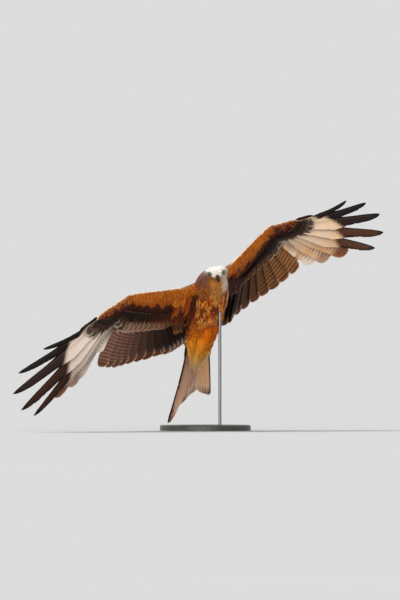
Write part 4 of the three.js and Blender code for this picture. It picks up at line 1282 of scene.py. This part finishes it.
def coverts(mirror):
    """Three tiers below and three above, each covert over the base of the long feather behind it."""
    pile = Pile()
    kinds = (UNDER_RIGHT if mirror else UNDER_LEFT) + UNDER_FRONT + OVER
    for (count, arm, hand, lift_arm, lift_hand, inner, outer), kind in zip(TIERS, kinds):
        at = np.linspace(0, len(QUILLS) - 1, count)
        out = ease(12.5, 15.5, at)
        ends = shafts(rows_between(QUILLS, at), vectors(0.06, between(arm, hand, out)))
        shrink = 1 - 0.25 * out
        rows = feather_rows(ends[:, 0], ends[:, 1], 1.5, 1, inner * shrink, outer * shrink)
        lifts = between(lift_arm, lift_hand, out) + np.sign(lift_arm) * 5 * ease(6, 1, at)
        add_vanes(pile, rows, [COVERT], (10, 9), lifts, 1.0, covert_paint(*kind), 18, mirror, 0.3)
    return pile


# %% [markdown]
# Two groups close the gap between wing and body: the axillaries, long dark rufous feathers in the armpit,
# and the scapulars on the shoulder. Both lie over the inner flight feathers.


# %% Axillaries and scapulars
def skin_height(x, y, over, missed):
    """Height of the skin met from above or from below, or the value missed where there is none."""
    heights = []
    for px, py, other in zip(x, y, np.broadcast_to(missed, x.shape)):
        hit = TREE.ray_cast(Vector((px, py, 150.0 * over)), Vector((0, 0, -over)))[0]
        heights.append(other if hit is None else hit.z)
    return np.array(heights)


# In the photograph they lie in deep shade on the left wing, and are rufous on the right
AXILLARIES_LEFT = (("#2a0c05", "#4c1c0a"), ("#340f05", "#5c240c"), ("#5c220a", "#8a4410"))
AXILLARIES_RIGHT = (("#42160a", "#7c360c"), ("#82380a", "#b06012"), ("#b05a0e", "#cf8a2a"))


def axillaries(pile, dice, mirror):
    codes = AXILLARIES_RIGHT if mirror else AXILLARIES_LEFT
    for count, start, reach, lower, kind in zip((15, 14, 13), (-22, -12, 0), (122, 96, 66), (2, 4, 6), codes):
        out = np.linspace(0, 1, count)
        x, y = start - 12 * out + dice.uniform(-6, 6, count), 50 + 84 * out
        root = vectors(x, y, skin_height(x, y, -1, 0.0) + 1.5)
        length = reach * dice.uniform(0.88, 1.08, count) - 16 * out
        tip = root + vectors(-length, 3 + 12 * out, -3 - lower + 4 * out)
        rows = feather_rows(root, tip, -2, 0, 7.5, 6.5)
        add_vanes(pile, rows, [PLUME], (8, 7), 0, 0.9, covert_paint(*kind, 0.03), 18, mirror, 0.2)


def scapulars(pile, dice, mirror):
    paint = covert_paint("#4c2b19", "#84522c", 0.16)
    for start, reach, high in ((-62, 122, 2), (-44, 94, 3), (-28, 70, 4), (-14, 48, 5)):
        over = np.linspace(0, 1, 14)
        x, y = start - 22 * over + dice.uniform(-5, 5, 14), 34 + 78 * over
        root = vectors(x, y, skin_height(x, y, 1, 15.0) - 0.5)
        x, y = x - reach * dice.uniform(0.9, 1.1, 14) + 8 * over, y + 5
        tip = vectors(x, y, skin_height(x, y, 1, root[:, 2] - 12) + high)
        rows = feather_rows(root, tip, 3, 0, 10, 9)
        add_vanes(pile, rows, [COVERT], (9, 9), 0.6, 1.0, paint, 18, mirror, 0.3)


def shoulder_feathers(mirror):
    pile, dice = Pile(), np.random.default_rng(73)
    axillaries(pile, dice, mirror)
    scapulars(pile, dice, mirror)
    return pile


# %% The thumb's feathers
def alula(mirror):
    pile, i = Pile(), np.arange(3.0)
    root, tip = vectors(11 - 5 * i, 333 + 3 * i, 56), vectors(-17 + 5 * i, 390 + 8 * i, 58 + i)
    paint = covert_paint("#2c1d15", "#6a4a34", 0.0)
    rows = feather_rows(root, tip, 2, 1, 9, 5)
    add_vanes(pile, rows, [COVERT], (8, 8), 3.0, 1.0, paint, 14, mirror, 0.2)
    return pile


def vane_piece(name, pile, mesh_name, slot):
    mesh = pile.mesh(mesh_name)
    mesh.set_sharp_from_angle(angle=1.0)
    piece(name, mesh, VANE_PAINT, slot)


HALVES = (("left", False), ("right", True))
for word, mirror in HALVES:
    for kind, made in (
        ("flight_feathers", long_feathers(mirror)),
        ("coverts", coverts(mirror)),
        ("alula", alula(mirror)),
        ("shoulder_feathers", shoulder_feathers(mirror)),
    ):
        vane_piece(f"{kind}_{word}", made, f"{kind}_{word}", "wing_feathers")

# %% [markdown]
# ## Tail
#
# Six feathers to a side, the outermost longest, give the deep fork. The bird steers with it, so its two
# halves curve differently, as in the photograph. It is pale pinkish below and chestnut above.


# %% Shape of the tail
TAIL = ((0, 0.3, 0.3), (0.15, 0.7, 0.7), (0.5, 1, 1), (0.9, 0.95, 0.95), (1, 0.8, 0.8))
TAIL_OUT = ((0, 0.3, 0.3), (0.15, 0.7, 0.7), (0.5, 1, 1), (0.72, 1, 0.85), (0.92, 0.9, 0.45), (1, 0.5, 0.1))


def tail_rows(side):
    """Six feathers of one half, from the middle out."""
    rows = []
    for i in range(6):
        share = i / 5
        spread = 12 + 95 * share
        level = -14 * (1 - share) + side * 16 * spread / 107
        power = 0.8 if side > 0 else 2.2
        root = (-238, 3 + 37 * share - side * 9, 6)
        tip = (-483 - 88 * share**power, spread, level)
        bow = (6 if side > 0 else -20) * share
        rows.append((*root, *tip, 5, bow, 15 if i == 0 else 25, 17 - 8 * share))
    return np.array(rows)


def tail_paint(mirror):
    def paint(i, s, c, top, ring):
        corner = ease(0.84, 0.98, s) * (0.15, 0.2, 0.35, 0.55, 0.85, 0.9)[i]
        # A white line along the tips and the inner edges near them is a painted highlight.
        edge_highlight = np.maximum(ease(0.985, 1, s), ease(0.9, 1, -c) * ease(0.7, 0.85, s))
        low = layered(
            "#aa8670" if mirror else "#d6a276",
            ("#b8793c", ease(0.75, 0.3, s) * ease(4.5, 0, i) * 0.8),
            ("#a5633a", ease(0.3, 0.05, np.abs(c)) * 0.35 * ease(0.1, 0.3, s)),
            ("#4a261a", corner),
            ("#1d1210", ease(-0.05, 0.25, c) * (i == 5)),
            ("#f4ebe0", edge_highlight * 0.9),
        )
        rusty = (i == 5) * ease(0.0, 0.4, c) + corner * 0.5
        high = layered("#6c4024", ("#7a4c2c", ease(0.2, 0.8, s)), ("#5a2f1a", rusty))
        bars = np.where(top, 0.3, 0.08) * ease(0.3, 0.5, s)
        return np.where(top[..., None], high, low), colour("#6a3a20"), bars, 0

    return paint


# %% Tail feathers
TAIL_COVERTS = ((0.34, 6.5, "#633419", "#7e4a28", 0.12), (0.2, 9.5, "#562c17", "#744223", 0.16))


def tail_half(mirror):
    rows, pile, paint = tail_rows(-1 if mirror else 1), Pile(), tail_paint(mirror)
    profiles = [TAIL] * 4 + [TAIL_OUT] * 2 if mirror else [TAIL]
    tips = [0.03] * 5 + [0.02 if mirror else 0.04]
    # The left half is seen almost edge on, so its feathers lie flatter on each other
    tilts, curve = ((9, 5), 1.0) if mirror else ((3.0, 2.0), 0.3)
    slants = (0.1, 0.35, 0.7, 1.1, 1.3, 0.6) if mirror else (0.3, 1.0, 0.95, 0.9, 0.8, 0.6)
    add_vanes(pile, rows, profiles, tilts, 0, 2.0, paint, 44, mirror, tips, curve=curve, slants=slants)
    for reach, lift, base, tip, width in TAIL_COVERTS:
        at = np.linspace(0, 4.1, 8)
        root, end = np.moveaxis(shafts(rows_between(rows, at), [0.0, reach]), 1, 0)
        end = end + (end - root) * (-0.08 * at / 5)[:, None]
        cover = feather_rows(root, end, 2, 0, 11, 9)
        paint = covert_paint(base, tip, width)
        add_vanes(pile, cover, [COVERT], (9, 8), lift, 0.9, paint, 14, mirror, 0.2)
    return pile


for word, mirror in HALVES:
    vane_piece(f"tail_feathers_{word}", tail_half(mirror), f"tail_{word}", "tail_feathers")

# %% [markdown]
# Behind the legs long soft feathers cover the vent and the base of the tail. They hide the drawn-up feet
# from below, as they do on the real bird. They grow in tiers; each tier spans the belly from side to side.


# %% Vent and undertail feathers
PLUME_DICE = np.random.default_rng(41)
PLUME_TIERS = [
    # From and to along the body, half the spread at roots and tips, colours of feathers and of tips
    (-262, -392, 52, 54, "#e6b476", "#e6bc90"),
    (-252, -366, 57, 55, "#e6aa50", "#eec07c"),
    (-240, -342, 59, 54, "#e89c34", "#ecb054"),
    (-226, -322, 58, 52, "#e48c20", "#e49c38"),
    (-210, -304, 55, 48, "#e08010", "#e08c20"),
    (-194, -286, 50, 46, "#e07808", "#e08414"),
    (-176, -262, 45, 42, "#dc6e06", "#de7a10"),
    (-158, -238, 40, 38, "#d46606", "#d87210"),
]


def plume_tier(pile, x0, x1, half0, half1, base, tip):
    """One tier of soft feathers that spans the belly from side to side."""
    count = 27
    across = np.linspace(-1, 1, count) + PLUME_DICE.uniform(-0.03, 0.03, count)
    across = np.sort(np.clip(across, -1, 1))
    x = x0 + PLUME_DICE.uniform(-7, 7, count) + 12 * across**2
    y = across * half0 * np.where(across > 0, 0.8, 1.22)
    root = vectors(x, y, skin_height(x, y, -1, -6.0) + 1.2)
    x = x + (x1 - x0) * (1 - 0.2 * across**2) * PLUME_DICE.uniform(0.88, 1.06, count)
    y = across * half1
    z = skin_height(x, y, -1, -13 + 0.15 * y) - 3.5
    lowest = np.interp(x, (-390, -330, -300, -250), (-9, -20, -30, -36))
    z = np.minimum(z, lowest * ease(34, 20, np.abs(y)))
    middle = ease(34, 18, np.abs(y)) * ease(-262, -240, x0) * ease(-150, -180, x0)
    rows = feather_rows(root, vectors(x, y, z), -3.0 - 10 * middle, 0, 4.6, 4.2)
    paint, lifts = covert_paint(base, tip, 0.05), PLUME_DICE.uniform(-1.5, 0.8, count)
    add_vanes(pile, rows, [PLUME], (7, 6), lifts, 0.7, paint, 14, False, 0.2)


pile = Pile()
for tier in PLUME_TIERS:
    plume_tier(pile, *tier)

piece("vent_feathers", pile.mesh("vent_feathers"), DOWN_PAINT, "breast_feathers")

# %% [markdown]
# ## Bill and cere
#
# The hooked bill is horn, dark at the tip and paler at its root, where the yellow wax-like cere with the
# nostrils covers it. Its grids are fine enough to press the nostrils in.

# %% Bill shapes
# Each row: forward, up, half width and half height, in the head's directions.
UPPER = [(2, -3.5, 8.2, 7.4), (11, -3, 7.2, 7), (20, -2.6, 5.6, 6.3), (29, -3.6, 4.3, 5.4)]
UPPER += [(36.4, -6.6, 3.1, 4.4), (39.2, -10.4, 2.0, 3.0), (39.6, -14.6, 0.6, 0.8)]
LOWER = [(2, -10, 7.2, 4), (12, -11.2, 5.8, 3.4), (22, -11.6, 4.0, 2.6), (30, -10.8, 1.6, 1.1)]


def turns_of(count):
    """Angles of a full turn."""
    return np.linspace(0, 2 * np.pi, count, endpoint=False)


def bill_rings(rows, start, end, count, around, grow=0.0):
    """Rings of a bill along its path."""
    at, angle = np.linspace(start, end, count), turns_of(around)
    path = through(rows, at)
    ahead = unit(through(rows, at + 0.01)[:, :2] - through(rows, at - 0.01)[:, :2])
    wide = (path[:, 2:3] + grow) * np.cos(angle) * (1 - 0.14 * np.maximum(np.sin(angle), 0))
    high = (path[:, 3:4] + grow) * np.sin(angle)
    return vectors(path[:, :1] - ahead[:, 1:] * high, wide, path[:, 1:2] + ahead[:, :1] * high)


def add_rings(pile, local, tint):
    """A closed loft given in the head's directions."""
    rows, around = local.shape[:2]
    points = on_head(*np.moveaxis(local, -1, 0))
    grain = vectors(np.arange(rows), 0, np.linspace(0, 1, rows))[:, None]
    pile.add(points, ring_faces(rows, around), ring_corners(rows, around), tint, DARK, grain, (0, 0, 0.3))


def head_piece(name, local, tint, material, slot, node):
    pile = Pile()
    add_rings(pile, local, tint)
    piece(name, pile.mesh(node), material, slot, node)


# %% Horn and wax
SPECKS = (0.5, 0.45, 0.42, 1.0)


def horn_paint(name, roughness, coat):
    paint = Paint(name, Specular_IOR_Level=0.25, Coat_Roughness=0.2, Coat_Weight=coat)
    cloud, grit = paint.noise(300.0, 4.0), paint.noise(2600.0, 2.0)
    share = ((cloud - 0.45) * 1.6).held() * 0.6
    look = paint.mixed(paint.attribute("tint"), SPECKS, share, "MULTIPLY")
    rough = roughness + (cloud - 0.5) * 0.3
    return paint.done(look, rough, cloud * 0.6 + grit * 0.4, 0.00025, 0.5)


HORN = horn_paint("horn_paint", 0.62, 0.02)
WAX = horn_paint("wax_paint", 0.5, 0.1)

# %% The two halves of the bill
upper = bill_rings(UPPER, 0.2, 6, 70, 36)
tint = layered("#33261a", ("#080605", ease(15, 24, upper[..., 0])))
head_piece("bill_upper_skin", upper, tint, HORN, "bill_horn", "bill_upper")

lower = bill_rings(LOWER, 0, 3, 40, 32)
tint = layered("#6b5a3c", ("#1d1816", ease(12, 22, lower[..., 0])))
head_piece("bill_lower_skin", lower, tint, HORN, "bill_horn", "bill_lower")

# %% Cere with nostrils
NOSTRIL_FORWARD, NOSTRIL_UP = 12.4, -1.4
cere = bill_rings(UPPER, 0.0, 1.48, 70, 64, 0.6)
forward, up = cere[..., 0], cere[..., 2]
hole = ease(2.3, 0.9, np.hypot(forward - NOSTRIL_FORWARD, (up - NOSTRIL_UP) * 1.7))
lump = ease(6.5, 2.5, np.hypot(forward - 13, up + 0.5))
cere[..., 1] *= 1 + 0.05 * lump - 0.24 * hole
cere[..., 1] *= 0.92 + 0.08 * ease(15.6, 14.0, forward)
# The nostrils are only shallow dents; their near-black colour is painted shade.
tint = layered("#a07a34", ("#1b130c", hole), ("#5c4a2c", ease(13, 15.6, forward) * 0.7))
head_piece("cere_skin", cere, tint, WAX, "cere_skin", "cere")

# %% The corner of the mouth
# A thin yellow fold on each side, with the dark line of the mouth inside as a thin dark tube: painted shade
# of the mouth's gap.
pile = Pile()
at, angle = np.linspace(0, 1, 26), turns_of(10)
for left in (1, -1):
    path = vectors(-6 + 22 * at, (17 - 10.2 * at**0.8) * left, -9.6 + 1.9 * at - 1.2 * at * at)
    size = 0.8 * np.sin(np.pi * np.clip(at * 0.92 + 0.06, 0, 1)) ** 0.5
    for shift, code, grow in ((0.75, "#b5883a", 1.0), (-0.75, "#a67c36", 0.9), (0.0, "#140c0a", 0.6)):
        fold = size[:, None] * grow
        ring = path[:, None] + vectors(0, fold * np.cos(angle) * left, fold * np.sin(angle) * 0.7 + shift)
        add_rings(pile, ring[:, ::left], colour(code))

piece("gape", pile.mesh("gape"), WAX, "cere_skin")

# %% [markdown]
# ## Eyes
#
# The iris is pale grey-yellow with a large black pupil, under a brow that gives the stern look. The
# eyeball bulges at the cornea and is wet, and a thin lid of bare skin rings it.


# %% Paint of the eye
def eye_paint():
    paint = Paint("eye_paint", Specular_IOR_Level=0.4, Coat_Weight=0.4, Coat_Roughness=0.02)
    share, rays = paint.parts("grain")[2], paint.noise(1400.0, 3.0)
    iris = share.ease(0.66, 0.56) * (rays * 0.7 + 0.5).held()
    look = paint.mixed("#1a1410", "#85815c", iris)
    look = paint.mixed(look, "#6f5a30", share.ease(0.44, 0.38) * 0.6)
    look = paint.mixed(look, "#020202", share.ease(0.38, 0.35))
    return paint.done(look, share.ease(0.6, 0.9) * 0.3 + 0.08, rays, 0.00005, 0.3)


EYE_PAINT = eye_paint()


# %% Eyes and lids
def eyeball(out, spoke):
    """Rings of a ball round the line of sight, which bulges at the cornea."""
    polar = np.linspace(0.02, np.pi * 0.98, 48)
    radius = 7.35 + 0.35 * ease(0.62, 0.2, polar)
    ball = (radius * np.cos(polar))[:, None, None] * out + (radius * np.sin(polar))[:, None, None] * spoke
    return ball, polar / (np.pi / 2)


for word, left in (("left", 1), ("right", -1)):
    socket = (-5.2, 18.6 * left, 0.5)
    out = unit(np.array((0.58, 0.8 * left, 0.05)))
    up = unit(np.array((0.0, 0.0, 1.0)) - out * out[2])
    turn = turns_of(48)
    spoke = np.cos(turn)[:, None] * np.cross(up, out) + np.sin(turn)[:, None] * up
    ball, share = eyeball(out, spoke)
    pile = Pile()
    points = on_head(*np.moveaxis(ball + socket, -1, 0))
    pile.add(points, ring_faces(48, 48), ring_corners(48, 48), 0, 0, vectors(0, 0, share)[:, None], 0)
    piece(f"eyeball_{word}", pile.mesh(f"eye_{word}"), EYE_PAINT, "eye", f"eye_{word}")
    # Lids: a soft ring, thicker above, following the ball
    pile, small = Pile(), turns_of(12)
    for grow, thick, sink, code in ((6.1, 0.75, 4.5, "#171210"), (6.9, 0.6, 4.1, "#4b3d33")):
        rim = out * sink + spoke * grow * (1 - 0.08 * np.abs(np.sin(turn)))[:, None]
        heavy = (thick * (1 + 0.35 * ease(0.1, 0.9, np.sin(turn))))[:, None]
        tube = rim[:, None] + (heavy * np.cos(small))[..., None] * spoke[:, None]
        tube = tube + (heavy * np.sin(small))[..., None] * out
        add_rings(pile, np.concatenate((tube, tube[:1])) + socket, colour(code))
    piece(f"lids_{word}", pile.mesh(f"lids_{word}"), WAX, "cere_skin")

# %% [markdown]
# ## Feet
#
# In flight the feet are drawn up under the tail. The photograph hides them, so they follow the species:
# short yellow scaly shanks, four toes, and black curved claws.

# %% Shapes of the foot
SHANK = np.array([(-192, 13, -44), (-212, 11, -40), (-240, 9, -30.0)])
SHANK_RADII = (5, 4.2, 4.6)
# Each toe: start, spread, reach, drop of the claw, and thickness.
TOES = [((-242, 9, -29), 6, 34, -9, 3.1), ((-242, 9, -29), 0, 42, -9, 3.3)]
TOES += [((-242, 9, -29), -5, 36, -9, 3.1), ((-239, 9, -32), 3, 19, -8, 3.2)]
TOE_TAPER = np.array((1, 0.85, 0.8, 0.62))
YELLOW, CLAW_BLACK = colour("#c9942c"), colour("#14110f")


def toe_path(start, spread, reach, drop):
    shares = ((0, 0), (0.35, 2.5), (0.62, 4), (0.8, 1 + drop * 0.3), (0.76, drop * 0.9))
    return np.array([(start[0] - reach * s, start[1] + spread * s, start[2] + f) for s, f in shares])


def add_tube(pile, path, radii, start, end, count, around, tint, scutes, gap, mirror):
    """A tube along a path, with scales as low steps across its upper side."""
    at, angle = np.linspace(start, end, count), turns_of(around)
    middle = through(path, at)[:, None]
    length = run(middle[:, 0])[:, None]
    saw = (length / gap) % 1
    plate = 1 + scutes * (saw - 0.5) * np.maximum(np.sin(angle), -0.35)
    rim = middle + (tube_at(path, radii, at[:, None], angle) - middle) * plate[..., None]
    shade = blend(tint, tint * 0.45, ease(0.75, 1.0, saw) * (scutes > 0))
    faces, corners = ring_faces(count, around), ring_corners(count, around)
    pile.add(rim, faces, corners, shade, DARK, vectors(length, 0, 0), 0, mirror=mirror)


# %% Feet and claws
for word, mirror in HALVES:
    feet, claws = Pile(), Pile()
    add_tube(feet, SHANK, SHANK_RADII, 0, 2, 60, 20, YELLOW, 0.14, 3.4, mirror)
    for start, spread, reach, drop, thick in TOES:
        path, radii = toe_path(start, spread, reach, drop), (*(thick * TOE_TAPER), 0.35)
        add_tube(feet, path, radii, 0, 2.95, 70, 16, YELLOW, 0.2, 2.3, mirror)
        add_tube(claws, path, np.array(radii) * 0.86, 2.7, 4, 30, 14, CLAW_BLACK, 0.0, 3.0, mirror)
    ball, turn = np.linspace(0.05, np.pi - 0.05, 20)[:, None], turns_of(24)
    wide, high = 5.8 * np.sin(ball) * np.cos(turn), 4.8 * np.sin(ball) * np.sin(turn)
    palm = vectors(6.3 * np.cos(ball), wide, high) + TOES[0][0]
    feet.add(palm, ring_faces(20, 24), ring_corners(20, 24), YELLOW, DARK, 0, 0, mirror=mirror)
    foot = feet.mesh(f"foot_{word}")
    piece(f"scaled_foot_{word}", foot, WAX, "leg_skin", f"foot_{word}", f"shank_{word}")
    piece(f"claws_{word}", claws.mesh(f"claws_{word}"), HORN, "bill_horn")

# %% [markdown]
# ## Stand
#
# The frame's rod and base keep their shapes. The rod is brushed steel and the base dark satin paint.


# %% Stand paints
def stand_paint():
    paint = Paint("stand_paint", Specular_IOR_Level=0.4)
    cloud, grit = paint.noise(14.0, 4.0), paint.noise(900.0, 3.0)
    look = paint.mixed("#33332f", "#42413d", cloud.ease(0.35, 0.7))
    return paint.done(look, 0.42 + (grit - 0.5) * 0.2, grit, 0.0001, 0.4)


def steel_paint():
    """The noise is stretched along the rod, as fine brushing lines."""
    paint = Paint("steel_paint", Metallic=1.0)
    where = paint.node("ShaderNodeTexCoord").outputs["Object"]
    stretched = paint.node("ShaderNodeMapping", Vector=where, Scale=(900.0, 900.0, 6.0)).outputs[0]
    lines = paint.noise(1.0, 3.0, stretched)
    return paint.done(paint.mixed("#6a6a6c", "#848486", lines), 0.26 + lines * 0.2, lines, 0.00005, 0.3)


for node, paint in (("stand_base", stand_paint()), ("stand_rod", steel_paint())):
    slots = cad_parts[node].data.materials
    slots.clear()
    slots.append(paint)

# %% [markdown]
# ## Studio
#
# The photograph looks up at the bird from far off. The camera therefore stands far away and level, with a
# long lens. A large soft light behind and above draws the bright edges, and a fill from the front shows
# the underside. The floor's tone equals the background's, so that no horizon shows.

# %% Floor
FLOOR_SIZE, FLOOR_DROP = 900.0, 0.0005
FLOOR_GREYS = ((0.394, 0.394, 0.392, 1), (0.404, 0.404, 0.402, 1))


def floor_paint():
    paint = Paint("floor_paint", Specular_IOR_Level=0.0, Roughness=1.0)
    look = paint.mixed(*FLOOR_GREYS, paint.noise(0.7, 2.0))
    plug(paint.tree, paint.shader.inputs["Base Color"], look)
    return paint.material


floor_mesh = bpy.data.meshes.new("floor")
ends = [(x * FLOOR_SIZE, y * FLOOR_SIZE, -FLOOR_DROP) for x, y in ((-1, -1), (1, -1), (1, 1), (-1, 1))]
floor_mesh.from_pydata(ends, [], [(0, 1, 2, 3)])
floor_mesh.materials.append(floor_paint())
floor = bpy.data.objects.new("floor", floor_mesh)
bpy.context.scene.collection.objects.link(floor)

# %% Light
BACKDROP = 0.72

world = bpy.data.worlds.new("studio")
world.use_nodes = True
sky = world.node_tree.nodes["Background"].inputs
sky["Color"].default_value, sky["Strength"].default_value = (1, 1, 1, 1), BACKDROP
bpy.context.scene.world = world


def soft_light(name, strength, angle, toward):
    """A wide sun whose light travels along the vector toward."""
    lamp = bpy.data.lights.new(name, "SUN")
    lamp.energy, lamp.angle = strength, np.radians(angle)
    thing = bpy.data.objects.new(name, lamp)
    thing.rotation_euler = Vector(toward).to_track_quat("-Z", "Y").to_euler()
    bpy.context.scene.collection.objects.link(thing)


soft_light("key_behind", 3.2, 14, (0.25, -0.55, -0.95))
soft_light("fill_front", 3.6, 50, (0.3, 0.93, -0.16))

# %% Camera
DISTANCE, VIEW_HEIGHT, SENSOR = 36.0, 1.98, 36.0

view = bpy.data.cameras.new("camera")
view.sensor_fit, view.sensor_height = "VERTICAL", SENSOR
view.lens = SENSOR * DISTANCE / VIEW_HEIGHT
view.clip_start, view.clip_end = 0.5, 3000.0
camera = bpy.data.objects.new("camera", view)
camera.location = (-0.0177, -0.052 - DISTANCE, 0.431)
camera.rotation_euler = (np.pi / 2, 0, 0)
bpy.context.scene.collection.objects.link(camera)
bpy.context.scene.camera = camera
bpy.context.scene.view_settings.view_transform = "Standard"
